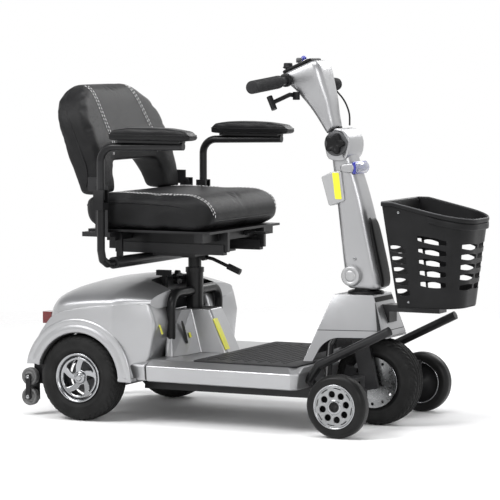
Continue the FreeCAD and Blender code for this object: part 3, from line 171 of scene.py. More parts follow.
GLOSS = surface("gloss_black", (0.006, 0.006, 0.0065), 0.2, coat=0.5, spread=0.2, grain=0.05,
                grain_scale=900.0, rough_spread=0.05)
PAINT = surface("black_paint", (0.007, 0.007, 0.0075), 0.32, coat=0.06, coat_rough=0.2, spread=0.25,
                specular=0.2, grain=0.12, grain_scale=700.0, wear=0.3, wear_colour=(0.05, 0.05, 0.052))
STEEL = surface("turned_steel", (0.3, 0.305, 0.31), 0.28, metal=1.0, spread=0.12, grain=0.12,
                grain_scale=600.0, rough_spread=0.1)
CHROME = surface("bright_alloy", (0.34, 0.345, 0.355), 0.2, metal=1.0, spread=0.08, grain=0.05,
                 grain_scale=300.0, rough_spread=0.07)
ALLOY = surface("painted_alloy", (0.27, 0.275, 0.28), 0.3, metal=0.85, coat=0.3, spread=0.08,
                grain=0.06, grain_scale=500.0)
CAST = surface("cast_alloy", (0.18, 0.18, 0.185), 0.55, metal=0.7, spread=0.2, grain=0.4,
               grain_scale=350.0)
TYRE = surface("tyre_rubber", (0.011, 0.011, 0.011), 0.62, specular=0.14, spread=0.3, spread_scale=30.0,
               grain=0.35, grain_scale=1100.0, rough_spread=0.1, wear=0.5, wear_colour=(0.03, 0.03, 0.03))
SMALL_TYRE = surface("solid_tyre", (0.009, 0.009, 0.009), 0.38, specular=0.16, spread=0.25, spread_scale=30.0,
                     grain=0.2, grain_scale=900.0, rough_spread=0.1)
MAT = surface("mat_rubber", (0.022, 0.022, 0.023), 0.6, specular=0.14, spread=0.2, spread_scale=30.0,
              grain=0.5, grain_scale=700.0)
GRIP = surface("grip_rubber", (0.022, 0.022, 0.023), 0.7, specular=0.14, spread=0.2, spread_scale=60.0,
               grain=0.5, grain_scale=1600.0)
GREY = surface("dark_grey_plastic", (0.05, 0.051, 0.054), 0.46, spread=0.15, grain=0.2,
               grain_scale=1300.0)
ROLLER = surface("roller_plastic", (0.10, 0.10, 0.10), 0.5, spread=0.2, spread_scale=60.0, grain=0.3,
                 grain_scale=900.0)
YELLOW = surface("yellow_strip", (0.72, 0.70, 0.02), 0.4, spread=0.08, spread_scale=60.0, grain=0.1,
                 grain_scale=900.0, coat=0.3)
THREAD = surface("light_thread", (0.62, 0.62, 0.62), 0.7, spread=0.2, spread_scale=300.0, grain=0.5,
                 grain_scale=2500.0)
# Matte black for recesses, joints and openings; on the front cover panel it is a painted reflection.
DARK = surface("recess_black_and_painted_reflection", (0.010, 0.010, 0.010), 0.7, spread=0.3, grain=0.2, grain_scale=900.0)


def lens(name, colour, through):
    """Tinted clear plastic with a faint ribbed inside."""
    item, tree, shader = new_material(name)
    place = add(tree, "TexCoord")
    ribs = add(tree, "TexWave", Scale=90.0, bands_direction="Z")
    wire(tree, place, "Object", ribs, "Vector")
    ramp = add(tree, "ValToRGB")
    ramp.color_ramp.elements[0].color = (*[c * 0.8 for c in colour], 1)
    ramp.color_ramp.elements[1].color = (*colour, 1)
    wire(tree, ribs, "Fac", ramp, "Fac")
    wire(tree, ramp, "Color", shader, "Base Color")
    bump = add(tree, "Bump", Strength=0.25, Distance=0.0005)
    wire(tree, ribs, "Fac", bump, "Height")
    wire(tree, bump, "Normal", shader, "Normal")
    for key, value in (("Roughness", 0.08), ("Transmission Weight", through), ("Coat Weight", 0.5)):
        shader.inputs[key].default_value = value
    return item


RED_LENS = lens("red_lens", (0.14, 0.003, 0.003), 0.1)
CLEAR_LENS = lens("clear_lens", (0.86, 0.9, 0.98), 0.75)
BLUE_RIM = lens("blue_rim", (0.03, 0.04, 0.42), 0.3)

# The library slot that goes with each finish, unless a piece names another.
SLOTS = {finish.name: slot for slot, finishes in (
    ("silver_body", (SILVER, SILVER_SATIN)),
    ("black_plastic", (PLASTIC,)),
    ("rim_silver", (CHROME, CAST)),
    ("dark_grey", (DARK, GREY)),
    ("mat_rubber", (YELLOW, MAT)),
    ("grip_rubber", (GRIP,)),
    ("lamp_clear", (BLUE_RIM, CLEAR_LENS)),
    ("gloss_black", (GLOSS,)),
    ("seat_cover", (THREAD, LEATHER)),
    ("frame_black", (PAINT, STEEL)),
    ("tyre_rubber", (TYRE,)),
    ("small_wheel", (SMALL_TYRE,)),
    ("roller_plastic", (ROLLER,)),
) for finish in finishes}


# ---------------------------------------------------------------- mesh tools
def mesh_piece(name, points, faces, body, finish, slot=None, smooth=True):
    """Object from points in the row frame and face index lists."""
    data = bpy.data.meshes.new(name)
    data.from_pydata([tuple(p) for p in points], [], faces)
    data.validate()
    data.update()
    return settle(data, name, body, finish, slot, smooth)


def settle(data, name, body, finish, slot=None, smooth=True, angle=None):
    item = shown(name, data)
    work = bmesh.new()
    work.from_mesh(data)
    bmesh.ops.recalc_face_normals(work, faces=work.faces)
    work.to_mesh(data)
    work.free()
    data.materials.clear()
    data.materials.append(finish)
    for face in data.polygons:
        face.use_smooth = smooth
    if angle is not None:
        data.set_sharp_from_angle(angle=math.radians(angle))
    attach(item, body)
    slot or SLOTS[finish.name]
    return item


def modify(item, kind, **values):
    step = item.modifiers.new(kind.lower(), kind)
    for key, value in values.items():
        setattr(step, key, value)
    return step


def bevel(item, width, segments=3, angle=30):
    modify(item, "BEVEL", width=width * MM, segments=segments, limit_method="ANGLE",
           angle_limit=math.radians(angle))
    return item


def subdivide(item, levels=2):
    modify(item, "SUBSURF", levels=levels, render_levels=levels)
    return item


def bake(item):
    """Apply all modifiers, so that later steps work on the final mesh."""
    graph = bpy.context.evaluated_depsgraph_get()
    data = bpy.data.meshes.new_from_object(item.evaluated_get(graph))
    item.modifiers.clear()
    item.data = data
    return item


def loft(name, rings, body, finish, slot=None, closed=True, caps=True, smooth=True):
    """Skin over rings of equal point count."""
    count = len(rings[0])
    points = [p for ring in rings for p in ring]
    faces = []
    for r in range(len(rings) - 1):
        for k in range(count if closed else count - 1):
            a, b = r * count + k, r * count + (k + 1) % count
            faces.append((a, b, b + count, a + count))
    if caps:
        faces.append(tuple(range(count))[::-1])
        faces.append(tuple((len(rings) - 1) * count + k for k in range(count)))
    return mesh_piece(name, points, faces, body, finish, slot, smooth)


def grid(name, rows, body, finish, slot=None):
    """Open sheet through rows of points."""
    return loft(name, rows, body, finish, slot, closed=False, caps=False)


def turned(name, profile, place, steps, body, finish, slot=None):
    """Surface of revolution: place maps an angle and each pair of the profile to a point."""
    points = [place(math.tau * k / steps, *pair) for k in range(steps) for pair in profile]
    count = len(profile)
    faces = []
    for k in range(steps):
        for j in range(count - 1):
            a, b = k * count + j, ((k + 1) % steps) * count + j
            faces.append((a, b, b + 1, a + 1))
    return mesh_piece(name, points, faces, body, finish, slot)


def lathe(name, profile, centre, body, finish, slot=None, steps=96, shape=None):
    """Turn (radius, y) pairs about the Y axis through centre, all in millimetres."""
    def place(angle, radius, y):
        r = radius if shape is None else shape(angle, radius, y)
        return centre + Vector((math.sin(angle) * r, y, math.cos(angle) * r)) * MM

    return turned(name, profile, place, steps, body, finish, slot)


def hoop(x, y, z, radius, steps):
    """Ring of points about an axis along Y."""
    return [at(x + radius * math.cos(math.tau * k / steps), y, z + radius * math.sin(math.tau * k / steps))
            for k in range(steps)]


def smooth_profile(points, times=2, closed=False):
    """Round off a run of points by cutting its corners."""
    for _ in range(times):
        fresh = [] if closed else [points[0]]
        for a, b in zip(points, points[1:] + points[:1] if closed else points[1:]):
            fresh.append(tuple(0.75 * u + 0.25 * v for u, v in zip(a, b)))
            fresh.append(tuple(0.25 * u + 0.75 * v for u, v in zip(a, b)))
        points = fresh if closed else fresh + [points[-1]]
    return points


def closed_smooth(points, times=2):
    return smooth_profile(points, times, True)


def plate(name, loops, thickness, edge, turn, body, finish, slot=None, cuts=()):
    """Flat plate with holes: closed loops of (a, b) in millimetres, rounded edges.

    turn maps (a, b, height above the middle) to a point in the row frame. cuts are (axis, list of
    positions) lines that let the plate bend smoothly."""
    data = bpy.data.curves.new(name, "CURVE")
    data.dimensions = "2D"
    data.fill_mode = "BOTH"
    data.extrude = max(thickness / 2 - edge, 0.01)
    data.bevel_depth = edge
    data.bevel_resolution = 2
    data.offset = -edge
    for loop in loops:
        spline = data.splines.new("POLY")
        spline.points.add(len(loop) - 1)
        for point, (a, b) in zip(spline.points, loop):
            point.co = (a, b, 0, 1)
        spline.use_cyclic_u = True
    flat = bpy.data.objects.new(name, data)
    mesh = bpy.data.meshes.new_from_object(flat)
    bpy.data.objects.remove(flat)
    bpy.data.curves.remove(data)
    work = bmesh.new()
    work.from_mesh(mesh)
    bmesh.ops.remove_doubles(work, verts=work.verts, dist=0.01)
    for axis, spots in cuts:
        normal = (1, 0, 0) if axis == 0 else (0, 1, 0)
        for spot in spots:
            start = (spot, 0, 0) if axis == 0 else (0, spot, 0)
            bmesh.ops.bisect_plane(work, geom=work.verts[:] + work.edges[:] + work.faces[:],
                                   plane_co=start, plane_no=normal)
    for vert in work.verts:
        vert.co = turn(*vert.co)
    work.to_mesh(mesh)
    work.free()
    return settle(mesh, name, body, finish, slot, angle=35)


def circle(a, b, radius, steps=40):
    return [(a + radius * math.cos(math.tau * k / steps),
             b + radius * math.sin(math.tau * k / steps)) for k in range(steps)]


def tube(name, route, radius, body, finish, slot, order=3, steps=12):
    """Round bar along a smooth curve through row-frame points."""
    data = bpy.data.curves.new(name, "CURVE")
    data.dimensions = "3D"
    data.bevel_depth = radius * MM
    data.bevel_resolution = 5
    data.resolution_u = steps
    data.use_fill_caps = True
    spline = data.splines.new("NURBS")
    spline.points.add(len(route) - 1)
    for point, spot in zip(spline.points, route):
        point.co = (*spot, 1)
    spline.order_u = order
    spline.use_endpoint_u = True
    curve = bpy.data.objects.new(name, data)
    mesh = bpy.data.meshes.new_from_object(curve)
    bpy.data.objects.remove(curve)
    bpy.data.curves.remove(data)
    return settle(mesh, name, body, finish, slot, angle=50)


def recolour(node, finish):
    """Give a CAD node its finish."""
    data = nodes[node].data
    data.materials.clear()
    data.materials.append(finish)
    for face in data.polygons:
        face.material_index = 0


def join(items, name):
    """One object out of several pieces of the same body."""
    work = bmesh.new()
    for item in items:
        work.from_mesh(item.data)
    data = items[0].data
    work.to_mesh(data)
    work.free()
    for item in items[1:]:
        bpy.data.objects.remove(item)
    items[0].name = name
    return items[0]


def screw(name, spot, axis, radius, body):
    """Domed screw head with a hex socket, facing along axis."""
    turn = Vector((0, 0, 1)).rotation_difference(Vector(axis).normalized()).to_matrix()
    profile = [(0.0, 0.1), (0.42, 0.1), (0.46, 0.55), (0.7, 0.6), (0.92, 0.42), (1.0, 0.1), (1.0, -0.3)]

    def place(angle, reach, height):
        out = reach * radius
        if 0 < reach < 0.5:
            out *= 1 - 0.06 * math.cos(6 * angle)
        return spot + turn @ Vector((out * math.cos(angle), out * math.sin(angle), height * radius)) * MM

    return turned(name, profile, place, 18, body, STEEL)


# ---------------------------------------------------------------- wheels
BIG_RADIUS, SMALL_RADIUS = 110, 78


def tread(angle, radius, y):
    """Tyre surface with shoulder blocks, two rain grooves, a zigzag middle and side ribs."""
    if radius < 99:
        return radius
    degrees = math.degrees(angle)
    side = abs(y)
    zigzag = 3.0 * abs((degrees / 12) % 2 - 1) - 1.5
    if abs(y - zigzag) < 1.3 or 11.5 < side < 14.5:
        return radius - 2.6
    if side >= 14.5 and (degrees + 0.7 * side) % 9 < 3.0:
        return radius - 3.0
    if side < 11.5 and (degrees + 1.6 * y) % 6 < 1.5:
        return radius - 1.2
    return radius


def big_tyre(name, centre, body, node):
    half = [(57, 26.5), (61, 27.5), (66, 33.5), (70, 36.5), (73, 37.3), (74, 38.0), (76, 38.0), (77, 37.3),
            (84, 37.8), (90, 37.6), (94, 36.6), (97, 35.2), (98.9, 34.2)]
    rows = [(99.5, 33.6), (102.5, 32.4), (104.8, 30.6), (106.4, 28.4), (107.6, 26), (108.4, 23.5)]
    crown = [(109.9 - 1.6 * (y / 22.0) ** 2, y) for y in range(-22, 23, 2)]
    profile = [(r, -y) for r, y in half + rows] + crown + (half + rows)[::-1]
    item = lathe(name, profile, centre, body, TYRE, steps=240, shape=tread)
    bevel(item, 0.35, 1, 50)
    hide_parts(node)


def swirl_hole(start, inner, outer, narrow, wide, lean):
    """Kidney-shaped opening between two radii that leans round the hub."""
    spots = []
    for share in (0.0, 0.33, 0.67, 1.0):
        spots.append((inner, start - narrow / 2 + narrow * share))
    for reach in (0.35, 0.7):
        spots.append((inner + (outer - inner) * reach, start + narrow / 2 + lean * reach
                      + (wide - narrow) / 2 * reach))
    for share in (1.0, 0.67, 0.33, 0.0):
        spots.append((outer, start + lean - wide / 2 + wide * share))
    for reach in (0.7, 0.35):
        spots.append((inner + (outer - inner) * reach, start - narrow / 2 + lean * reach
                      - (wide - narrow) / 2 * reach))
    loop = [(r * math.cos(math.radians(a)), r * math.sin(math.radians(a))) for r, a in spots]
    return closed_smooth(loop)


def cast_rim(name, centre, side, body, node):
    """Alloy rim: barrel with two lips, a dished disc with five openings and a hub cap."""
    barrel = [(57, -27), (60.5, -29.5), (63.2, -33.2), (62.0, -35.4), (59.0, -35.0), (55.5, -31.5),
              (53.0, -24), (51.5, -16), (50.5, 0), (50.5, 16), (53.0, 25), (57.0, 31), (60.0, 34.5),
              (62.5, 34), (62.5, 31), (58, 27)]
    ring = lathe(name, [(r, side * y * -1) for r, y in smooth_profile(barrel)], centre, body, CHROME)
    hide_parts(node)
    loops = [circle(0, 0, 52, 72)]
    for k in range(5):
        loops.append(swirl_hole(72 * k, 19, 45.5, 28, 52, 26 * side))

    def dish(a, b, height):
        r = math.hypot(a, b)
        depth = 10 * max(0.0, 1 - (r / 50) ** 2) if r > 14 else 10 * (1 - (14 / 50) ** 2)
        return centre + Vector((a, side * (27 - depth + height), b)) * MM

    plate(name + "_disc", loops, 6, 2.2, dish, body, CHROME,
          cuts=[(0, range(-50, 51, 6)), (1, range(-50, 51, 6))])
    hub = [(0.0, 31), (6.5, 31), (8, 30), (8.6, 27.5), (14, 26.5), (15.6, 24.5), (16.5, 18), (16.5, 12)]
    lathe(name + "_hub", [(r, side * y) for r, y in smooth_profile(hub, 1)], centre, body, CHROME, steps=40)
    lathe(name + "_drum", [(47, -side * 22), (44, -side * 25), (20, -side * 25), (12, -side * 28),
                            (0, -side * 28)], centre, body, CAST, steps=64)


for label, side in HALVES:
    hub = at(0, side * 248, BIG_RADIUS)
    big_tyre("rear_tyre_%s_form" % label, hub, "rear_wheel_" + label, "rear_tyre_" + label)
    cast_rim("rear_rim_%s_form" % label, hub, side, "rear_wheel_" + label, "rear_rim_" + label)

FRONT = at(709, 0, BIG_RADIUS)
big_tyre("centre_tyre_form", FRONT, "front_wheel", "centre_tyre")
cast_rim("centre_rim_form", FRONT, 1, "front_wheel", "centre_rim")


def small_wheel(label, side):
    """Solid-tyred wheel with eight round holes in a machined disc."""
    centre = at(715, side * 270, SMALL_RADIUS)
    body = "small_wheel_" + label
    outline = [(51, -20), (56, -21.5), (60, -22.6), (66, -22.9), (70, -22), (73.5, -19), (75.6, -15.5),
               (76.6, -13), (76.8, -12), (77.6, -10.6), (77.9, -5), (78, 0)]
    profile = outline + [(r, -y) for r, y in outline[::-1][1:]]
    tyre = lathe(label + "_small_tyre", smooth_profile(profile, 1), centre, body, SMALL_TYRE)
    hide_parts("small_wheel_" + label)
    rim = [(52, -20.5), (54.5, -21.5), (54.8, -22.8), (53.2, -23.2), (51.0, -22.4), (49.8, -20), (49.4, 0),
           (49.8, 20), (52, 22.5), (54.5, 22), (53, 20.5)]
    lathe(label + "_small_rim", [(r, -side * y) for r, y in smooth_profile(rim, 1)], centre, body,
          CHROME, "small_wheel")
    loops = [circle(0, 0, 50.5, 72), circle(0, 0, 13.0, 32)]
    for k in range(8):
        angle = math.radians(45 * k + 12)
        loops.append(circle(31.5 * math.cos(angle), 31.5 * math.sin(angle), 8.3, 24))
        start = 45 * k + 12 + 11
        slot_loop = [(r * math.cos(math.radians(start + 23 * s)), r * math.sin(math.radians(start + 23 * s)))
                     for r, s in [(44.6, q / 6) for q in range(7)] + [(46.6, 1 - q / 6) for q in range(7)]]
        loops.append(slot_loop)

    def outer(a, b, height):
        r = math.hypot(a, b)
        return centre + Vector((a, side * (19.5 - 0.05 * max(0.0, 44 - r) + height), b)) * MM

    plate(label + "_small_disc", loops, 5, 1.0, outer, body, ALLOY, "small_wheel",
          cuts=[(0, range(-48, 49, 8))])
    hub = [(13.2, 22.4), (17.0, 22.4), (18.4, 20.5), (18.6, 14)]
    lathe(label + "_small_collar", [(r, side * y) for r, y in hub], centre, body, CHROME,
          "small_wheel", 40)
    bore = [(0.0, 15.2), (6.2, 15.0), (7.0, 13.2), (12.8, 12.6), (13.1, 22.2)]
    lathe(label + "_small_bearing", [(r, side * y) for r, y in bore], centre, body, DARK,
          "small_wheel", 40)
    back = [(49.6, -4), (30, -7), (16, -14), (12, -20), (8.4, -20)]
    lathe(label + "_small_back", [(r, side * y) for r, y in back], centre, body, PLASTIC,
          "small_wheel", 48)


for label, side in HALVES:
    small_wheel(label, side)
    for height, z in (("lower", 48), ("upper", 100)):
        centre = at(-167, side * 230, z)
        body = "roller_%s_%s" % (height, label)
        outline = [(5, -7.5), (9.5, -9.2), (11.2, -7.2), (15.0, -7.0), (17.0, -9.4), (20.5, -9.6),
                   (22.6, -7.5), (23, -4), (23, 4), (22.6, 7.5), (20.5, 9.6), (17.0, 9.4), (15.0, 7.0),
                   (11.2, 7.2), (9.5, 9.2), (5, 7.5)]
        roller = lathe(body + "_form", smooth_profile(outline, 1), centre, body, ROLLER, steps=48)
        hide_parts(body)

    def beside(a, b, height, side=side):
        return at(a, side * (243.6 + height), b)

    link = closed_smooth([(-175.5, 100), (-175.5, 107), (-158.5, 107), (-158.5, 100), (-161, 74),
                          (-158.5, 48), (-158.5, 41), (-175.5, 41), (-175.5, 48), (-173, 74)])
    plate("roller_link_" + label, [link], 3.2, 0.8, beside, "chassis", PAINT)
    for z in (48, 100):
        screw("roller_screw_%s_%d" % (label, z), at(-167, side * 245, z), (0, side, 0), 5.5, "chassis")


def rounded_rect(a0, b0, a1, b1, corner, steps=5):
    """Rounded rectangle as a closed list."""
    spots = []
    for ca, cb, first in ((a1 - corner, b0 + corner, -90), (a1 - corner, b1 - corner, 0),
                          (a0 + corner, b1 - corner, 90), (a0 + corner, b0 + corner, 180)):
        for k in range(steps + 1):
            angle = math.radians(first + 90 * k / steps)
            spots.append((ca + corner * math.cos(angle), cb + corner * math.sin(angle)))
    return spots


# ---------------------------------------------------------------- deck and covers
def ring_at(z, spots):
    return [at(x, y, z) for x, y in spots]


def deck_outline(rear, front, rear_half, front_half, corner):
    """Deck plan: a little narrower at the back, with cut front corners."""
    return [(rear, -rear_half), (front - corner, -front_half), (front, -front_half + corner),
            (front, front_half - corner), (front - corner, front_half), (rear, rear_half)]


levels = [(109, deck_outline(193, 603, 262, 272, 12)), (112, deck_outline(192, 606, 272, 282, 14)),
          (147, deck_outline(192, 610, 276, 284.5, 16)), (150, deck_outline(192, 610, 275, 283, 16)),
          (161, deck_outline(192, 602, 246, 252, 26)), (162.4, deck_outline(192, 598, 242, 247, 26))]
deck = loft("deck_shell", [ring_at(z, spots) for z, spots in levels], "chassis", SILVER,
            smooth=False)
bevel(deck, 2.2, 3, 18)
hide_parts("deck_tray")
rear_block = loft("deck_rear_block", [ring_at(z, deck_outline(138, 187, half_r, half_f, 4))
                                      for z, half_r, half_f in
                                      ((111, 262, 268), (147, 268, 274), (152, 264, 270), (160, 236, 238))],
                  "chassis", SILVER, smooth=False)
bevel(rear_block, 2.0, 3, 18)
loft("deck_gasket", [ring_at(z, deck_outline(185, 194, half, half, 1))
                     for z, half in ((113, 266), (146, 271), (158, 240))],
     "chassis", DARK, smooth=False)

mat_plan = [(306, -236), (312, -243), (583, -247), (592, -240), (594, -120), (560, -112), (560, 112),
            (594, 120), (592, 240), (583, 247), (312, 243), (306, 236)]


def level(z):
    """Placement of a flat plate lying at a height."""
    return lambda a, b, height: at(a, b, z + height)


mat = plate("deck_mat_form", [mat_plan], 3.4, 0.9, level(164.2), "chassis", MAT)
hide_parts("deck_mat")
ribs = []
for k in range(13):
    x = 330 + 17.5 * k
    half = 205 - (25 if k % 2 else 0)
    band = [(x - 2.6, -half), (x + 2.6, -half), (x + 2.6, half), (x - 2.6, half)]
    ribs.append(plate("rib", [band], 1.6, 0.6, level(166.2), "chassis", MAT))
join(ribs, "deck_mat_ribs")


PEDESTAL_FOOT, PEDESTAL_TOP = 163, 274


def pedestal():
    """Cover round the foot of the seat post: prow, two wings and their outer folds."""
    low = [(197, -176), (214, -172), (226, -122), (232, -47), (298, -43), (304, -36), (304, 36), (298, 43),
           (232, 47), (226, 122), (214, 172), (197, 176)]
    high = [(162, -106), (173, -100), (188, -74), (200, -42), (247, -38), (252, -32), (252, 32), (247, 38),
            (200, 42), (188, 74), (173, 100), (162, 106)]

    def between(share, inset=0.0):
        spots = []
        for (xa, ya), (xb, yb) in zip(low, high):
            x, y = xa + (xb - xa) * share, ya + (yb - ya) * share
            spots.append((x - inset, y - math.copysign(inset, y)))
        return ring_at(PEDESTAL_FOOT + (PEDESTAL_TOP - PEDESTAL_FOOT) * share, spots)

    rings = [between(share, inset) for share, inset in
             ((0.0, 0.0), (0.5, 0.0), (1.0, 0.0), (1.0, 5), (0.5, 5), (0.0, 5))]
    item = loft("pedestal_form", rings, "chassis", SILVER, caps=False, smooth=False)
    bevel(item, 2.6, 3, 16)
    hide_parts("pedestal_cover")
    loft("pedestal_lid", [ring_at(z, high[2:10]) for z in (270, 273)], "chassis", DARK,
         smooth=False)


pedestal()


slot_shape = closed_smooth([(-5, -30), (5, -30), (6.5, 0), (5, 30), (-5, 30), (-6.5, 0)])


def face_frame(a, b, c, lift=0.0):
    """Plate placement on the plane through three row-frame points; a to b is across, c is above."""
    across = (b - a).normalized()
    out = across.cross(c - a).normalized()
    up = out.cross(across)
    return lambda s, t, height: a + (across * s + up * t + out * (height + lift)) * MM


wing_face = face_frame(at(226, -122, PEDESTAL_FOOT), at(232, -47, PEDESTAL_FOOT),
                       at(200, -42, PEDESTAL_TOP), 0.6)
plate("pedestal_slot", [[(x * 0.9 + 20, y + 58) for x, y in slot_shape]], 1.4, 0.4, wing_face,
      "chassis", DARK)
plate("pedestal_tag", [[(38, 42), (47, 42), (47, 55), (38, 55)]], 0.9, 0.3, wing_face,
      "chassis", YELLOW)
prow_face = face_frame(at(304, -36, PEDESTAL_FOOT), at(304, 36, PEDESTAL_FOOT),
                       at(252, 32, PEDESTAL_TOP), 0.6)
plate("pedestal_strip", [[(-8, 10), (18, 10), (18, 96), (-8, 96)]], 0.9, 0.3, prow_face,
      "chassis", YELLOW)


def front_cover():
    """Tapered cover over the steering head, cut away for the wheel."""
    def spot(z, along, across, inset=0.0):
        t = (z - 168) / 162.0
        rear, front = 561 + 51 * t + inset, 778 - 62 * t - inset
        half = (134 - 68 * t) * (1 - along) + (62 - 4 * t) * along - inset
        return rear + (front - rear) * along, half * across, z

    def edge(x):
        if x < 586:
            return 164.0
        if x < 640:
            return 224 - 60 * (1 - math.sqrt(max(0.0, 1 - ((640 - x) / 54.0) ** 2)))
        return 224.0

    def foot(along, across):
        z = 200.0
        for _ in range(24):
            z = 0.5 * z + 0.5 * edge(spot(z, along, across)[0])
        return z

    stations = [(0, 1 - k / 6) for k in range(12)]
    stations += [(k / 40, -1) for k in range(40)]
    stations += [(1, k / 6 - 1) for k in range(12)]
    stations += [(1 - k / 40, 1) for k in range(40)]
    feet = [foot(*where) for where in stations]
    rings = []
    for share in (0, 0.08, 0.35, 0.6, 0.8, 0.95, 1.0):
        rings.append([at(*spot(low + (329 - low) * share, *where))
                      for low, where in zip(feet, stations)])
    rings.append([at(*spot(330, along, across, 7)) for along, across in stations])
    item = loft("front_cover_form", rings, "chassis", SILVER, caps=False, smooth=False)
    modify(item, "SOLIDIFY", thickness=4 * MM, offset=-1)
    bake(item)
    bevel(item, 2.0, 3, 28)
    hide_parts("front_cover")
    seam = [[at(*spot(z, along, across, -0.3)) for along, across in stations] for z in (241.2, 242.8)]
    loft("front_cover_seam", seam, "chassis", DARK, "silver_body", caps=False, smooth=False)
    cap = [[at(*spot(z, along, across, 6)) for along, across in stations] for z in (326.5, 328.5)]
    loft("front_cover_cap", cap, "chassis", SILVER_SATIN, smooth=False)
    liner = []
    for k in range(25):
        x = 588 + 172 * k / 24
        z = edge(x) + 5
        half = abs(spot(z, (x - 563) / 192.0, 1)[1]) - 6
        liner.append([at(x + 2, half * (j / 4 - 1), z) for j in range(9)])
    grid("front_cover_liner", liner, "chassis", PLASTIC)


front_cover()
turned("steering_gaiter", [(46, 0), (47, 3), (45, 7), (40, 9), (36, 9)],
       lambda turn, r, z: at(672 + r * math.cos(turn), 0.95 * r * math.sin(turn), 328 + z), 48, "chassis",
       PLASTIC)


# ---------------------------------------------------------------- rear body
COWL_HALF, COWL_CROWN, COWL_SHOULDER = 284, 352, 318


def cowl_half(x):
    """Half width of the upper rear body at a distance from the rear axle."""
    if x > 105:
        t = (x - 105) / 85.0
        return COWL_HALF - 56 * t ** 1.15
    if x > -30:
        return COWL_HALF
    t = (-30 - x) / 92.0
    return COWL_HALF - 90 * t ** 2.6


def cowl_top(x):
    """Height of the crown line."""
    if x > 60:
        t = (x - 60) / 125.0
        return COWL_CROWN - 22 * t ** 2.2
    t = (60 - x) / 182.0
    return COWL_CROWN - 20 * t - 62 * t ** 5.5


def cowl_seam(x):
    """Height of the joint with the side panels."""
    if x > -66:
        return 301 - 30 * (max(0.0, 140 - x) / 206.0) ** 2.0
    return 271 - (-66 - x) * 1.1


def rear_cowl():
    rows = []
    stations = [-120, -117, -111, -102, -90, -75, -58, -40, -20, 2, 26, 50, 74, 98, 120, 140, 156, 168,
                177, 184]
    shares = 22
    for x in stations:
        half, top, base = cowl_half(x), cowl_top(x), cowl_seam(x)
        row = []
        ends = [(half - 6, base - 14), (half - 1, base - 7), (half + 0.5, base)]
        for y, z in ends:
            row.append(at(x, -y, z))
        for k in range(1, 2 * shares):
            angle = math.pi * k / (2 * shares)
            y = -half * math.copysign(abs(math.cos(angle)) ** 0.52, math.cos(angle))
            rise = abs(math.sin(angle)) ** 0.62
            above = top - COWL_SHOULDER
            shoulder = base + (min(top, COWL_SHOULDER + above * 0.3) - base) * min(1.0, rise * 1.02)
            crown = above * max(0.0, 1 - (abs(y) / half) ** 1.6) * 0.9 if above > 0 else 0.0
            row.append(at(x, y, max(base, shoulder + crown * rise)))
        for y, z in ends[::-1]:
            row.append(at(x, y, z))
        rows.append(row)
    item = grid("rear_cowl_form", rows, "chassis", SILVER)
    low = item.data
    work = bmesh.new()
    work.from_mesh(low)
    work.verts.ensure_lookup_table()
    width = len(rows[0])
    work.faces.new([work.verts[k] for k in range(width)][::-1])
    work.faces.new([work.verts[(len(rows) - 1) * width + k] for k in range(width)])
    bmesh.ops.recalc_face_normals(work, faces=work.faces)
    work.to_mesh(low)
    work.free()
    notch = loft("cutter", [[at(x, y, z) for x, y in
                             [(114, -96), (122, -106), (150, -116), (260, -140), (260, 140), (150, 116),
                              (122, 106), (114, 96)]] for z in (150, 420)], "chassis", SILVER)
    modify(item, "SUBSURF", levels=1, render_levels=1, subdivision_type="SIMPLE")
    modify(item, "BOOLEAN", operation="DIFFERENCE", object=notch, solver="EXACT")
    bake(item)
    bpy.data.objects.remove(notch)
    for face in item.data.polygons:
        face.use_smooth = True
    item.data.set_sharp_from_angle(angle=math.radians(38))
    bevel(item, 2.0, 2, 45)
    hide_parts("rear_cowl")


rear_cowl()


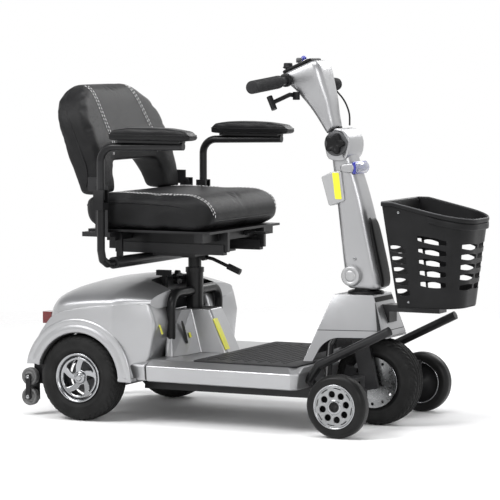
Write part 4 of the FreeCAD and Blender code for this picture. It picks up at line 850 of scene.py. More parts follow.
def side_skin(label, side):
    """Fender panel with a rolled arch lip; the front part turns in towards the pedestal."""
    arc = [(3 + 118 * math.cos(math.radians(a)), 110 + 118 * math.sin(math.radians(a)))
           for a in range(0, 166, 5)]
    top = [(-146, 140), (-120, 196), (-96, 236), (-66, 271), (-20, 284), (62, 297), (110, 301), (168, 301),
           (181, 298), (196, 249), (184, 172), (172, 136), (160, 113), (146, 111)]
    loop = arc + smooth_profile(top, 1)

    def skin(a, b, height, side=side):
        y = 286.5 + height
        if a > 100:
            y -= 54 * ((a - 100) / 97.0) ** 1.25
        if b > 250:
            y -= 5 * ((b - 250) / 50.0) ** 2
        return at(a, side * y, b)

    item = plate("side_panel_%s_form" % label, [loop], 4.5, 1.6, skin, "chassis", SILVER,
                 cuts=[(0, [-120, -90, -60, -30, 0, 30, 60, 90] + list(range(100, 197, 6))),
                       (1, [130, 160, 190, 220] + list(range(250, 301, 7)))])
    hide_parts("side_panel_" + label)
    section = [(116, 279), (114.8, 284), (115.5, 289), (119, 292.0), (124, 293.0), (130, 292.4),
               (134.5, 290.6), (137, 289.8), (141, 291.0), (146, 291.4), (150.5, 290.2), (152.8, 287),
               (152.5, 284)]
    fine = smooth_profile(section, 2)
    rings = []
    angles = [-1.5 + 2.5 * k for k in range(68)]
    for a in angles:
        turn = math.radians(a)
        fade = min(1.0, max(0.0, (a + 1.5) / 6.0), max(0.0, (angles[-1] - a) / 6.0))
        rings.append([at(3 + r * math.cos(turn), side * (284 + (y - 284) * (0.35 + 0.65 * fade ** 0.5)),
                         110 + r * math.sin(turn)) for r, y in fine])
    grid("arch_lip_" + label, rings, "chassis", SILVER)
    roof = []
    for a in angles:
        turn = math.radians(a)
        roof.append([at(3 + 117 * math.cos(turn), side * y, 110 + 117 * math.sin(turn))
                     for y in (285, 262, 236, 208)])
    shell = grid("arch_roof_" + label, roof, "chassis", DARK)
    modify(shell, "SOLIDIFY", thickness=2 * MM)
    foot = loft("panel_foot_" + label, [[at(x, side * y, z) for x, y in
                                         [(119, 291), (140, 292.5), (156, 285), (162, 268), (150, 258),
                                          (119, 262)]] for z in (108.5, 112.5, 116)],
                "chassis", SILVER, smooth=False)
    bevel(foot, 1.5, 2, 30)
    front_wall = []
    for z, outer_x, outer_y, inner_x in ((301, 179, 240, 166), (298, 181.5, 239, 168), (274, 190, 235, 176),
                                         (249, 196, 233, 182), (210, 190, 237, 178), (172, 184, 241.5, 172),
                                         (136, 172.5, 248.5, 163), (112, 163, 254, 158)):
        row = [(outer_x - 26, outer_y + 14), (outer_x - 6, outer_y + 4.5), (outer_x, outer_y),
               (outer_x + 1, outer_y - 4)]
        row += [(outer_x + 1 + (inner_x - outer_x) * k / 6, outer_y - 4 - (outer_y - 116) * k / 6)
                for k in range(1, 7)]
        row += [(inner_x - 5, 109), (inner_x - 46, 104)]
        front_wall.append([at(x, side * y, z) for x, y in row])
    wall_piece = grid("front_wall_" + label, front_wall, "chassis", SILVER)
    modify(wall_piece, "SOLIDIFY", thickness=3 * MM, offset=0)
    bake(wall_piece)
    strip = face_frame(at(196, side * 226, 249), at(183, side * 140, 249), at(180, side * 234, 298), 1.2)
    if side < 0:
        plate("front_wall_strip", [rounded_rect(12, -28, 24, 42, 2)], 0.9, 0.3, strip, "chassis",
              YELLOW)


for label, side in HALVES:
    side_skin(label, side)


# ---------------------------------------------------------------- tiller
TILT_X, TILT_Z = 608, 705


def rounded_ring(rear, front, half, corner):
    """Closed ring between two profile points, width 2*half, rounded corners, seen along the column."""
    (xr, zr), (xf, zf) = rear, front
    length = math.hypot(xf - xr, zf - zr)
    ux, uz = (xf - xr) / length, (zf - zr) / length
    r = min(corner, half - 1, length / 2 - 1)
    spots = []
    for centre_s, centre_y, first in ((length - r, -(half - r), -90), (length - r, half - r, 0),
                                      (r, half - r, 90), (r, -(half - r), 180)):
        for k in range(7):
            angle = math.radians(first + 15 * k)
            spots.append((centre_s + r * math.cos(angle), centre_y + r * math.sin(angle)))
    return [at(xr + ux * s, y, zr + uz * s) for s, y in spots]


tiller_sections = [((636, 341), (714, 339), 33, 22), ((631, 346), (722, 344), 37, 22),
                   ((628, 356), (726, 354), 40, 22), ((626, 380), (721, 380), 42, 22),
                   ((622, 410), (712, 410), 43, 20), ((617, 460), (700, 462), 43, 18),
                   ((610, 520), (686, 526), 42, 17), ((603, 570), (672, 576), 40, 17),
                   ((598, 610), (660, 616), 39, 17), ((592, 645), (647, 650), 37.5, 17),
                   ((588, 674), (639, 680), 36.5, 16), ((585, 696), (634, 700), 36, 14),
                   ((588, 700), (631, 703), 33, 13)]
tiller_body = loft("tiller_shell_form", [rounded_ring(r, f, h, c) for r, f, h, c in tiller_sections],
                   "tiller", SILVER)
subdivide(tiller_body, 1)
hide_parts("tiller_shell")
panel_rings = []
for (xa, za), (xb, zb), half in (((716, 345), (725, 346), 20), ((718, 351), (731, 351), 26),
                                 ((715, 378), (728, 379), 29), ((707, 410), (720, 412), 30),
                                 ((697, 452), (710, 455), 29), ((690, 486), (702, 489), 28),
                                 ((685, 508), (696, 511), 25), ((682, 520), (690, 523), 16)):
    panel_rings.append(rounded_ring((xa - 8, za), (xb, zb), half, 7))
front_panel = loft("tiller_front_panel", panel_rings, "tiller", PLASTIC)
subdivide(front_panel, 1)
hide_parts("tiller_panel")


def boss(label, side):
    """Round fold boss on the flank of the column: a flat cap, a groove and a broad outer ring."""
    profile = [(0.1, 11.0), (9, 11.0), (11.5, 10.4), (12.5, 9.0), (13.6, 9.0), (14.4, 10.4),
               (19.5, 10.2), (21.5, 9.4), (22.6, 7.5), (23.2, 3), (24, -10)]
    turned("fold_boss_" + label, profile,
           lambda turn, r, out: at(652 + 1.1 * (r * math.cos(turn)), side * (46 + out),
                                   375 + 1.1 * (r * math.sin(turn))),
           48, "tiller", SILVER_SATIN)


for label, side in HALVES:
    boss(label, side)


def lobed_knob(name, side):
    """Five-lobed grip knob on the head's tilt axis, on a grey disc."""
    lobes = []
    for k in range(100):
        turn = math.tau * k / 100
        r = 23.5 + 4.2 * math.cos(5 * turn)
        lobes.append((r * math.cos(turn), r * math.sin(turn)))
    rings = [[at(TILT_X + x * scale, side * (46 + out), TILT_Z + z * scale) for x, z in lobes]
             for scale, out in ((0.97, 0), (1.0, 2), (1.0, 9), (0.96, 12), (0.86, 13.6), (0.6, 14.2),
                                (0.5, 12.4), (0.2, 12.4))]
    loft(name, rings, "tiller", PLASTIC)
    disc = [hoop(TILT_X, side * (46 + out), TILT_Z, r, 64)
            for r, out in ((31, -10), (31.5, -2), (30.5, 0.2), (24, 0.6))]
    loft(name + "_disc", disc, "tiller", GREY)


for label, side in HALVES:
    lobed_knob("tilt_knob_" + label, side)
cap_outline = [(632, 664), (643, 680), (646, 705), (641, 724), (630, 737), (615, 743), (603, 742), (602, 737),
               (614, 736), (627, 730), (636, 718), (639, 704), (636, 690), (624, 680)]
cap_rows = []
for y, s in ((-45, 0.97), (-44.4, 0.995), (-43, 1.0), (43, 1.0), (44.4, 0.995), (45, 0.97)):
    cap_rows.append([at(612 + (x - 612) * s, y, 700 + (z - 700) * s)
                     for x, z in closed_smooth(cap_outline, 1)])
loft("tiller_cap", cap_rows, "tiller", SILVER)
cheek = [(584, 668), (600, 662), (630, 662), (641, 680), (645, 705), (640, 723), (629, 736), (614, 742),
         (603, 740), (590, 728), (580, 710), (578, 690)]
for label, side in HALVES:
    plate("tiller_cheek_" + label, [closed_smooth(cheek, 1)], 9, 2.5,
          lambda a, b, h, side=side: at(a, side * (39.5 + h), b), "tiller", SILVER)
tilt_core = loft("tilt_barrel_form", [hoop(TILT_X, y, TILT_Z, r, 56) for y, r in
                                      ((-44, 26), (-38, 30), (-30, 31), (30, 31), (38, 30), (44, 26))],
                 "tiller", PLASTIC)
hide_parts("tilt_barrel")


def lamp_block():
    """Silver band round the column's top with a clear, blue rimmed lens on its front."""
    def across(name, spots, levels, finish, slot=None):
        fine = closed_smooth(spots, 2)
        centre_x = sum(x for x, z in fine) / len(fine)
        centre_z = sum(z for x, z in fine) / len(fine)
        rows = [[at(centre_x + (x - centre_x) * s, y, centre_z + (z - centre_z) * s) for x, z in fine]
                for y, s in levels]
        return loft(name, rows, "tiller", finish, slot)

    def ends(half):
        return ((-half, 0.7), (-half + 0.6, 0.9), (-half + 3, 1.0), (half - 3, 1.0), (half - 0.6, 0.9),
                (half, 0.7))

    band = across("headlamp_band", [(616, 643), (620, 653), (640, 657), (652, 655), (656, 644),
                                    (652, 633), (640, 632), (620, 634)], ends(42), SILVER)
    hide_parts("headlamp")
    across("headlamp_rim", [(648, 659), (657, 661), (662, 645), (658, 628), (649, 630)], ends(39.5), BLUE_RIM)
    across("headlamp_lens", [(650, 656), (660, 658), (666, 645), (661, 631), (651, 633)], ends(38),
           CLEAR_LENS)
    across("headlamp_reflector", [(640, 652), (654, 653), (657, 645), (654, 637), (640, 638)], ends(33),
           CHROME)


lamp_block()


def box_body():
    """Pale box on the rear of the column, its lid turned down over the sides."""
    spots = [(567, 622), (596, 634), (621, 637), (632, 562), (589, 548)]
    fine = []
    for k, (x, z) in enumerate(spots):
        for other in (spots[k - 1], spots[(k + 1) % len(spots)]):
            gap = math.hypot(other[0] - x, other[1] - z)
            fine.append((x + (other[0] - x) * 3.5 / gap, z + (other[1] - z) * 3.5 / gap))

    def ring(y, s):
        return [at(600 + (x - 600) * s, y, 592 + (z - 592) * s) for x, z in fine]

    item = loft("stowage_box_form", [ring(y, s) for y, s in ((-44.5, 0.95), (-44, 0.985), (-42.5, 1.0),
                                                             (42.5, 1.0), (44, 0.985), (44.5, 0.95))],
                "tiller", SILVER_SATIN, smooth=False)
    bevel(item, 1.2, 2, 30)
    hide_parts("stowage_box")
    plate("stowage_box_strip", [rounded_rect(602, 566, 620, 632, 3)], 0.8, 0.2,
          lambda a, b, h: at(a - 0.13 * (b - 600), -44.9 - h, b), "tiller", YELLOW)


box_body()
screw("column_screw", at(660, -43.6, 418), (0, -1, 0), 4.2, "tiller")

# ---------------------------------------------------------------- head
head_sections = [((574, 724), (596, 743), 27, 12), ((570, 732), (597, 749), 30, 13),
                 ((547, 768), (589, 778), 33, 15), ((528, 796), (585, 812), 37, 16),
                 ((507, 819), (577, 838), 42, 18), ((492, 836), (571, 862), 46, 20),
                 ((474, 850), (564, 888), 48, 20), ((460, 865), (557, 905), 47, 20),
                 ((456, 874), (548, 912), 44, 18), ((461, 881), (538, 913), 38, 14)]
head_form = loft("head_shell_form", [rounded_ring(r, f, h, c) for r, f, h, c in head_sections], "head",
                 SILVER)
subdivide(head_form, 1)
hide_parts("head_shell")
loft("head_neck", [hoop(TILT_X, y, TILT_Z, r, 48) for y, r in
                   ((-11.5, 22), (-11.5, 25.5), (11.5, 25.5), (11.5, 22))],
     "head", PLASTIC, smooth=False)
neck = loft("head_neck_web", [[at(x, y, z) for x, z in ((588, 715), (607, 722), (601, 748), (574, 734))]
                              for y in (-11, 11)], "head", PLASTIC, smooth=False)
bevel(neck, 2, 2, 30)


CONSOLE_EDGE = Vector((458, 0, 881))
CONSOLE_ALONG, CONSOLE_OUT = Vector((0.914, 0, 0.405)), Vector((-0.405, 0, 0.914))


def on_console(a, b, height):
    """Console face: a runs forward from the rider's edge, b to the rider's left."""
    spot = CONSOLE_EDGE + CONSOLE_ALONG * a + CONSOLE_OUT * height
    return at(spot.x, b, spot.z)


def on_head(name, loops, thick, edge, lift, finish, slot=None):
    return plate(name, loops, thick, edge, lambda a, b, h: on_console(a, b, h + lift), "head",
                 finish, slot)


on_head("console_pad", [rounded_rect(-3, -41, 82, 41, 14)], 7, 2.4, 0.5, PLASTIC)
on_head("console_face", [rounded_rect(8, -33, 74, 33, 9)], 1.6, 0.5, 4.6, GLOSS)
on_head("console_bezel", [rounded_rect(47, -30, 73, -4, 4), rounded_rect(49.5, -27.5, 70.5, -6.5, 3)[::-1]],
        2.4, 0.6, 5.2, CHROME)
on_head("console_gauge", [rounded_rect(50, -27, 70, -7, 3)], 1.2, 0.3, 5.4, GREY)
ticks = []
for k in range(6):
    mark = rounded_rect(52.4 + 2.8 * k, -20, 53.8 + 2.8 * k, -12, 0.3)
    ticks.append(on_head("tick", [mark], 0.8, 0.1, 6.0, SILVER_SATIN))
join(ticks, "console_ticks")


def stacked(name, centre, levels, body, finish, slot=None, lobes=0, depth=0.0, normal=(0, 0, 1), steps=48):
    """Turned part about a free axis: levels are (radius, height) pairs, with shallow flutes if asked."""
    spot = Vector(centre)
    up = Vector(normal).normalized()
    side = up.cross(Vector((0, 1, 0)))
    side = side.normalized() if side.length > 0.01 else Vector((1, 0, 0))
    other = up.cross(side)
    rings = []
    for r, h in levels:
        ring = []
        for k in range(steps):
            turn = math.tau * k / steps
            reach = max(0.1, r + depth * math.cos(lobes * turn)) if lobes and r > 3 else max(0.1, r)
            ring.append(spot + (side * math.cos(turn) + other * math.sin(turn)) * reach * MM + up * h * MM)
        rings.append(ring)
    return loft(name, rings, body, finish, slot)


dial_centre, dial_foot = middle("speed_dial"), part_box("speed_dial")[0][2]
dial = stacked("speed_dial_form", (dial_centre.x, dial_centre.y, dial_foot),
               [(4, 0), (12.2, 4), (13, 5), (13, 6.5), (11.4, 7.5), (10.8, 15), (9.8, 16.6), (6, 17),
                (0.2, 17)], "speed_dial", PLASTIC, lobes=12, depth=0.35)
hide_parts("speed_dial")
stacked("speed_dial_mark", (dial_centre.x + 0.006, dial_centre.y, dial_foot + 0.0166),
               [(1.0, 0), (1.0, 0.6), (0.2, 0.8)], "speed_dial", SILVER_SATIN, "black_plastic", steps=16)
horn_low, horn_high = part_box("horn_button")
horn_radius = (horn_high[0] - horn_low[0]) / MM / 2
horn_tall = (horn_high[2] - horn_low[2]) / MM
horn = stacked("horn_button_form", (middle("horn_button").x, middle("horn_button").y, horn_low[2]),
               [(3, 0), (horn_radius, 1), (horn_radius, horn_tall * 0.7),
                (horn_radius - 1.2, horn_tall * 0.95), (3, horn_tall), (0.2, horn_tall)],
               "horn_button", GREY, "gloss_black")
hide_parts("horn_button")
stacked("key_collar", on_console(46, 14, 6), [(7, 0), (7, 2), (5.6, 3.4), (3.4, 3.6), (0.2, 3.6)], "head",
        CHROME, normal=CONSOLE_OUT)
stacked("key_cap", on_console(46, 14, 9), [(2.2, 0), (2.4, 3), (6.2, 5), (7.4, 9), (6.8, 13), (3.2, 15.4),
                                           (0.2, 15.6)],
        "head", BLUE_RIM, "black_plastic", normal=CONSOLE_OUT)


BAR_X, BAR_Z = 476, 862


def grip(label, side):
    """Ribbed rubber grip on the bar's drooping end, with a collar at the inner edge."""
    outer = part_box("handlebar_grips")[1][1] / MM
    radius = 16.5
    rows = [(0, radius * 0.55), (0.6, radius * 0.86), (3, radius * 0.98)]
    for k in range(18):
        start = 8 + 7.0 * k
        rows += [(start, radius - 0.1), (start + 1.4, radius - 1.1), (start + 3.4, radius - 1.1),
                 (start + 4.8, radius - 0.1)]
    rows += [(140, radius), (150, radius), (156, radius - 0.4), (158, radius - 3.5)]
    rings = []
    for reach, r in rows:
        y = outer - reach
        rings.append(hoop(BAR_X, side * y, BAR_Z - 14.5 * (y - 46) / 204, r, 40))
    return loft("grip_" + label, rings, "head", GRIP)


for item in [grip(label, side) for label, side in HALVES]:
    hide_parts("handlebar_grips")
for label, side in HALVES:
    loft("bar_clamp_" + label, [hoop(BAR_X, side * y, BAR_Z, r, 40) for y, r in
                                ((50, 12), (50.5, 15.5), (53, 17), (62, 17), (65, 15.5), (65.5, 12))],
         "head", PLASTIC)


# ---------------------------------------------------------------- seat pads
def piece_from(node, name, body, finish, voxel=5.0, shrink=5.0, smooth_steps=4):
    """Copy of a plain CAD pad, remeshed finely, rounded and drawn in a little before it is inflated."""
    data = nodes[node].data.copy()
    item = shown(name, data)
    data.materials.clear()
    data.materials.append(finish)
    modify(item, "REMESH", mode="VOXEL", voxel_size=voxel * MM)
    modify(item, "SMOOTH", factor=0.8, iterations=smooth_steps)
    bake(item)
    work = bmesh.new()
    work.from_mesh(item.data)
    work.normal_update()
    for vert in work.verts:
        vert.co -= vert.normal * shrink * MM
    work.to_mesh(item.data)
    work.free()
    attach(item, body)
    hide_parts(node)
    return item


def inflate(item, cap, pressure, tension=18.0):
    """Cloth pressure on a closed form, with each point's travel capped, applied to the mesh."""
    start = [vert.co.copy() for vert in item.data.vertices]
    cloth = item.modifiers.new("cloth", "CLOTH")
    settings = cloth.settings
    settings.use_pressure = True
    settings.uniform_pressure_force = pressure
    settings.effector_weights.gravity = 0
    settings.tension_stiffness = tension
    settings.compression_stiffness = tension
    settings.bending_stiffness = 2.0
    settings.quality = 5
    cloth.collision_settings.use_collision = False
    scene = bpy.context.scene
    cloth.point_cache.frame_start = 1
    cloth.point_cache.frame_end = 20
    for frame_number in range(1, 21):
        scene.frame_set(frame_number)
    bake(item)
    scene.frame_set(1)
    for vert, before in zip(item.data.vertices, start):
        step = vert.co - before
        if step.length > cap * MM:
            vert.co = before + step.normalized() * cap * MM


def finish_pad(item, levels=1):
    subdivide(item, levels)
    for face in item.data.polygons:
        face.use_smooth = True


cushion = piece_from("seat_cushion", "seat_cushion_pad", "seat", LEATHER, 6.0, 3.0, 26)
inflate(cushion, 8, 3.6)
finish_pad(cushion)


def surface_of(host):
    return BVHTree.FromPolygons([vert.co[:] for vert in host.data.vertices],
                                [face.vertices[:] for face in host.data.polygons])


def seam_thread(name, host, route, body, offset=0.9, stitch=6.5, gap=2.0, radius=0.85):
    """Row of raised stitches laid on a surface along a route of points."""
    tree = surface_of(host)
    dense = []
    for a, b in zip(route, route[1:]):
        steps = max(2, int((b - a).length / 0.0015))
        dense += [a.lerp(b, k / steps) for k in range(steps)]
    path = []
    for spot in dense:
        near, normal, _, _ = tree.find_nearest(spot)
        path.append((near + normal * offset * MM, normal))
    points, faces = [], []
    travel, start, on = 0.0, path[0], True
    for before, after in zip(path, path[1:]):
        travel += (after[0] - before[0]).length / MM
        if on and travel >= stitch:
            add_stitch(points, faces, start, after, radius)
            on, travel = False, 0.0
        elif not on and travel >= gap:
            on, travel, start = True, 0.0, after
    return mesh_piece(name, points, faces, body, THREAD)


def add_stitch(points, faces, start, end, radius):
    """One short thread with tapered ends, standing slightly proud in the middle."""
    (a, na), (b, _) = start, end
    along = (b - a).normalized()
    side = along.cross(na).normalized()
    base = len(points)
    for share, swell in ((0.0, 0.25), (0.2, 0.9), (0.5, 1.0), (0.8, 0.9), (1.0, 0.25)):
        centre = a.lerp(b, share) + na * 0.3 * MM * math.sin(math.pi * share)
        for k in range(6):
            turn = math.pi * k / 3
            points.append(centre + (side * math.cos(turn) + na * math.sin(turn)) * radius * swell * MM)
    for j in range(4):
        for k in range(6):
            a0, b0 = base + 6 * j + k, base + 6 * j + (k + 1) % 6
            faces.append((a0, b0, b0 + 6, a0 + 6))
    faces.append(tuple(base + k for k in range(6))[::-1])
    faces.append(tuple(base + 24 + k for k in range(6)))


def piping(name, host, route, body, radius=2.2, finish=None, lift=0.2):
    """Covered cord along a seam, laid on the host's surface."""
    tree = surface_of(host)
    spots = []
    for spot in route:
        near, normal, _, _ = tree.find_nearest(spot)
        spots.append(near + normal * lift * MM)
    return tube(name, spots, radius, body, finish or LEATHER, "seat_cover")


def on_side(side, points, shift=0):
    """Row-frame route of (x, distance from the middle, z) points on one side of the seat."""
    return [at(x, side * (y + shift), z) for x, y, z in points]


CUSHION_EDGE = [(-22, 214, 545), (20, 221, 553), (90, 224, 556), (180, 224, 554), (250, 222, 550),
                (296, 218, 538), (326, 204, 518), (340, 180, 506), (346, 140, 502), (348, 70, 500),
                (348, 0, 500)]
CUSHION_SEAM = [(-18, 176, 575), (60, 178, 585), (180, 184, 585), (270, 188, 582), (318, 188, 566),
                (344, 184, 540), (350, 180, 515)]


for label, side in HALVES:
    piping("cushion_piping_" + label, cushion, on_side(side, CUSHION_EDGE), "seat", 2.0)
    for shift in (-4.5, 4.5):
        seam_thread("cushion_stitch_%s_%d" % (label, 1 if shift < 0 else 2), cushion,
                    on_side(side, CUSHION_SEAM, shift), "seat")

back_pad = piece_from("backrest", "backrest_pad", "back", LEATHER, 6.0, 2.0, 12)
for vert in back_pad.data.vertices:
    z = vert.co.z / MM
    if z > 736:
        share = min(1.0, (z - 736) / 124)
        vert.co.y *= (104 + 121 * math.sqrt(1 - 0.97 * share ** 2.1)) / 225
    if z < 640:
        vert.co.z -= (640 - z) * 0.16 * MM
inflate(back_pad, 7, 3.4)
finish_pad(back_pad)


BACK_EDGE = [(-10, 232, 590), (0, 232, 620), (-22, 232, 680), (-46, 232, 740), (-66, 228, 780),
             (-84, 210, 820), (-98, 170, 852), (-102, 120, 866), (-103, 50, 868), (-103, 0, 868)]
BACK_SEAM = [(60 - (z - 600) * 0.42, y, z) for y, z in ((122, 668), (118, 720), (113, 780), (108, 830))]
BACK_SEAM.append((-70, 106, 862))
for label, side in HALVES:
    for shift in (-5, 5):
        seam_thread("back_stitch_%s_%d" % (label, 1 if shift < 0 else 2), back_pad,
                    on_side(side, BACK_SEAM, shift), "back")
    piping("back_piping_" + label, back_pad, on_side(side, BACK_EDGE), "back", 2.0)

for label, side in HALVES:
    body = "arm_" + label
    arm = piece_from("arm_pad_" + label, "arm_pad_form_" + label, body, PAD_SKIN, 4.0, 0.0, 4)
    inflate(arm, 4, 4.0)
    finish_pad(arm)
    low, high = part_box("arm_pad_" + label)
    x0, x1 = (low.x - AXLE) / MM, (high.x - AXLE) / MM
    y0, y1 = low.y / MM, high.y / MM
    z0 = low.z / MM
    seam = []
    for k in range(49):
        turn = math.tau * k / 48
        ca, sa = math.cos(turn), math.sin(turn)
        seam.append(at((x0 + x1) / 2 + (x1 - x0) / 2 * math.copysign(abs(ca) ** 0.25, ca) * 1.02,
                       (y0 + y1) / 2 + (y1 - y0) / 2 * math.copysign(abs(sa) ** 0.4, sa) * 1.06, z0 + 13))
    piping("arm_seam_" + label, arm, seam, body, 1.3, PAD_SKIN)


# ---------------------------------------------------------------- basket
def basket_wall_at(travel, height):
    """Point and outward direction on the basket's wall: travel 0..1 round the open D from the rear right."""
    t = (height - 305.5) / (565 - 305.5)
    rear, front = 800 + (764 - 800) * t, 952 + (985 - 952) * t
    half, radius = 100 + 20 * t, 76 + 16 * t
    straight = front - radius - rear
    arc = math.pi * radius / 2
    nose = 2 * (half - radius)
    total = 2 * straight + 2 * arc + nose
    s = travel * total
    if s < straight:
        return rear + s, -half, (0, -1)
    s -= straight
    if s < arc:
        a = s / radius
        return front - radius + radius * math.sin(a), -half + radius - radius * math.cos(a), \
            (math.sin(a), -math.cos(a))
    s -= arc
    if s < nose:
        return front, -half + radius + s, (1, 0)
    s -= nose
    if s < arc:
        a = s / radius
        return front - radius + radius * math.cos(a), half - radius + radius * math.sin(a), \
            (math.cos(a), math.sin(a))
    s -= arc
    return front - radius - s, half, (0, 1)


def rim_height(x):
    return 565.5 if x < 794 else 565 - (x - 794) * 0.223


def on_basket(a, b, height):
    """a: travel in thousandths, b: height share in thousandths of the wall, height outward."""
    low = 309
    x, y, (nx, ny) = basket_wall_at(a / 1000, low + 240 * b / 1000)
    top = rim_height(x) - 2
    z = low + (top - low) * b / 1000
    x, y, (nx, ny) = basket_wall_at(a / 1000, z)
    return at(x + nx * (height - 1.6), y + ny * (height - 1.6), z)


def slot_loop(centre, width, low, high):
    """Lens-shaped opening with flat ends and a bulging middle, listed backwards as a hole."""
    mid, tall = (low + high) / 2, (high - low) / 2
    spots = []
    for way in (-1, 1):
        for k in range(12):
            u = way * (2 * k / 11 - 1) * -1
            spots.append((centre + u * width, mid + way * tall * (1 - 0.35 * u * u)))
    return spots[::-1]


wall_loops = [[(0, 0), (1000, 0), (1000, 1000), (0, 1000)]]
for centre, width, first, pitch in ((45, 37, 110, 105), (215, 68, 215, 116), (425, 64, 190, 117),
                                    (575, 64, 190, 117), (785, 68, 215, 116), (955, 37, 110, 105)):
    for k in range(5):
        low = first + pitch * k
        wall_loops.append(slot_loop(centre, width, low, low + 70))
wall = plate("basket_wall", wall_loops, 3.0, 0.9, on_basket, "basket", PLASTIC,
             cuts=[(0, [12.5 * k for k in range(1, 80)]), (1, [50 * k for k in range(1, 20)])])
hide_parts("basket")
back_loops = [[(-100, 0), (100, 0), (100, 1000), (-100, 1000)]]
for k in range(5):
    low = 120 + 108 * k
    for centre in (-60, 60):
        back_loops.append(slot_loop(centre, 32, low, low + 66))


def on_basket_back(a, b, height):
    z = 309 + (563 - 309) * b / 1000
    t = (z - 305.5) / 259.5
    return at(800 - 36 * t + 1.6 - height, a * (100 + 20 * t) / 100, z)


plate("basket_back", back_loops, 3.0, 0.9, on_basket_back, "basket", PLASTIC,
      cuts=[(1, [100 * k for k in range(1, 10)])])
floor_loop = []
for k in range(81):
    x, y, (nx, ny) = basket_wall_at(k / 80, 308)
    floor_loop.append((x - nx, y - ny))
plate("basket_floor", [floor_loop], 3.4, 1.0, level(307.4), "basket",
                  PLASTIC)


def basket_band(name, profile, finish, first=0.0, last=1.0, steps=120, closed_back=True):
    """Moulding swept round the rim; profile is (outward, above the rim line)."""
    rings = []
    path = []
    for k in range(steps + 1):
        travel = first + (last - first) * k / steps
        x, y, direction = basket_wall_at(travel, rim_height(900))
        x, y, direction = basket_wall_at(travel, rim_height(x))
        path.append((x, y, direction))
    if closed_back:
        for k in range(1, 12):
            path.append((764, 120 - 20 * k, (-1, 0)))
    for x, y, (nx, ny) in path:
        rings.append([at(x + nx * out, y + ny * out, rim_height(x) + up) for out, up in profile])
    if closed_back:
        rings.append(rings[0])
    return grid(name, rings, "basket", finish, "black_plastic")


basket_band("basket_rim", smooth_profile([(-2.5, -3), (-2.6, 0), (-1, 1.6), (1.6, 1.8), (3.8, 0.6),
                                          (4.2, -2.5), (3.4, -8), (1.0, -9), (-1, -8.6)], 1), PLASTIC)
basket_band("basket_bead", smooth_profile([(0.6, 1.2), (1.2, 2.6), (2.6, 2.8), (3.6, 1.6), (3.4, 0.4)], 1),
            GREY)
basket_band("basket_ledge", smooth_profile([(-1, -26), (1.5, -26), (3.2, -25), (3.4, -12), (2.4, -10.5),
                                            (-1, -10.5)], 1), PLASTIC, 0.2, 0.8, 80, False)
for travel, share in ((0.07, 0.93), (0.07, 0.05), (0.93, 0.93), (0.93, 0.05)):
    spot = on_basket(travel * 1000, share * 1000, 1.6)
    screw("basket_bolt_%d_%d" % (travel * 100, share * 100), spot, (0, -1 if travel < 0.5 else 1, 0), 3.4,
          "basket")

# ---------------------------------------------------------------- frame parts that keep their CAD shape
for node in ("main_frame", "front_subframe", "anti_tip_frame", "fork", "knuckle_right", "knuckle_left",
             "seat_post", "swivel_base", "seat_frame", "backrest_brackets", "tiller_column", "handlebar",
             "arm_tube_right", "arm_tube_left", "arm_post_right", "arm_post_left"):
    recolour(node, PAINT)
for node in ("swivel_lever", "slide_lever", "post_knob", "release_lever", "head_cable", "drive_lever"):
    recolour(node, PLASTIC)
# The front cover panel's black is a painted reflection: the dark seen on the cover's front face is drawn into
# the panel's colour.
for node, finish in (("brake_disc", STEEL), ("transaxle", CAST), ("battery_packs", GREY),
                     ("front_cover_panel", DARK), ("tail_lights", RED_LENS)):
    recolour(node, finish)


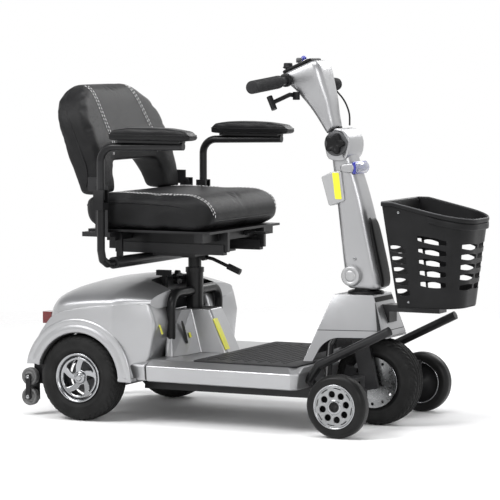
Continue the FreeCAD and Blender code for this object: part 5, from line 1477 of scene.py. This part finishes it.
# ---------------------------------------------------------------- stage
def build_stage():
    floor = bpy.data.meshes.new("floor")
    rings, steps = 12, 64
    points = [(0, 0, 0)]
    for k in range(1, rings + 1):
        reach = 3.0 * k / rings
        points += [(reach * math.cos(math.tau * j / steps), reach * math.sin(math.tau * j / steps), 0)
                   for j in range(steps)]
    faces = [(0, 1 + j, 1 + (j + 1) % steps) for j in range(steps)]
    for k in range(rings - 1):
        inner, outer = 1 + k * steps, 1 + (k + 1) * steps
        faces += [(inner + j, outer + j, outer + (j + 1) % steps, inner + (j + 1) % steps)
                  for j in range(steps)]
    floor.from_pydata(points, [], faces)
    ground = shown("floor", floor)
    paint = surface("floor_white", (0.92, 0.92, 0.92), 0.7, spread=0.01, grain=0.02, specular=0.2)
    tree = paint.node_tree
    place = add(tree, "TexCoord")
    reach = add(tree, "VectorMath", operation="LENGTH")
    fade = add(tree, "MapRange")
    fade.inputs["From Min"].default_value = 1.3
    fade.inputs["From Max"].default_value = 2.9
    clear = add(tree, "BsdfTransparent")
    mix = add(tree, "MixShader")
    tree.links.new(place.outputs["Object"], reach.inputs[0])
    wire(tree, reach, "Value", fade, "Value")
    wire(tree, fade, "Result", mix, "Fac")
    tree.links.new(tree.nodes["Principled BSDF"].outputs[0], mix.inputs[1])
    tree.links.new(clear.outputs[0], mix.inputs[2])
    tree.links.new(mix.outputs[0], tree.nodes["Material Output"].inputs["Surface"])
    floor.materials.append(paint)
    world = bpy.data.worlds.new("studio")
    bpy.context.scene.world = world
    world.use_nodes = True
    tree = world.node_tree
    place = tree.nodes.new("ShaderNodeTexCoord")
    split = tree.nodes.new("ShaderNodeSeparateXYZ")
    ramp = tree.nodes.new("ShaderNodeValToRGB")
    tree.links.new(place.outputs["Generated"], split.inputs[0])
    wire(tree, split, "Z", ramp, "Fac")
    tree.links.new(ramp.outputs["Color"], tree.nodes["Background"].inputs["Color"])
    ramp.color_ramp.elements[0].position = 0.30
    ramp.color_ramp.elements[0].color = (1, 1, 1, 1)
    ramp.color_ramp.elements[1].position = 0.62
    ramp.color_ramp.elements[1].color = (0.22, 0.22, 0.23, 1)
    tree.nodes["Background"].inputs["Strength"].default_value = 1.0
    target = at(348.4, 0, 420)
    for label, spot, size, power in (
            ("key", (-1.6, -2.6, 3.0), 1.6, 120), ("fill", (3.0, -2.6, 1.8), 1.6, 40),
            ("rim", (0.6, 3.0, 2.6), 1.8, 60), ("top", (0.2, -0.4, 3.4), 2.2, 70)):
        lamp = bpy.data.lights.new(label, "AREA")
        lamp.size = size
        lamp.energy = power
        holder = shown(label, lamp)
        holder.location = spot
        holder.rotation_euler = (target - Vector(spot)).to_track_quat("-Z", "Y").to_euler()


CAMERA_AZIMUTH, CAMERA_ELEVATION = 25.8, 4.41
CAMERA_DISTANCE, CAMERA_LENS, CAMERA_SENSOR = 7.1345, 200.8, 36


def build_camera():
    azimuth, elevation = math.radians(CAMERA_AZIMUTH), math.radians(CAMERA_ELEVATION)
    target = at(348.4, 0, 426.7)
    away = Vector((math.sin(azimuth) * math.cos(elevation), -math.cos(azimuth) * math.cos(elevation),
                   math.sin(elevation)))
    data = bpy.data.cameras.new("camera")
    data.lens = CAMERA_LENS
    data.sensor_width = CAMERA_SENSOR
    camera = shown("camera", data)
    camera.location = target + away * CAMERA_DISTANCE
    camera.rotation_euler = away.to_track_quat("Z", "Y").to_euler()
    bpy.context.scene.camera = camera


build_stage()
build_camera()
bpy.context.scene.view_settings.view_transform = "Standard"
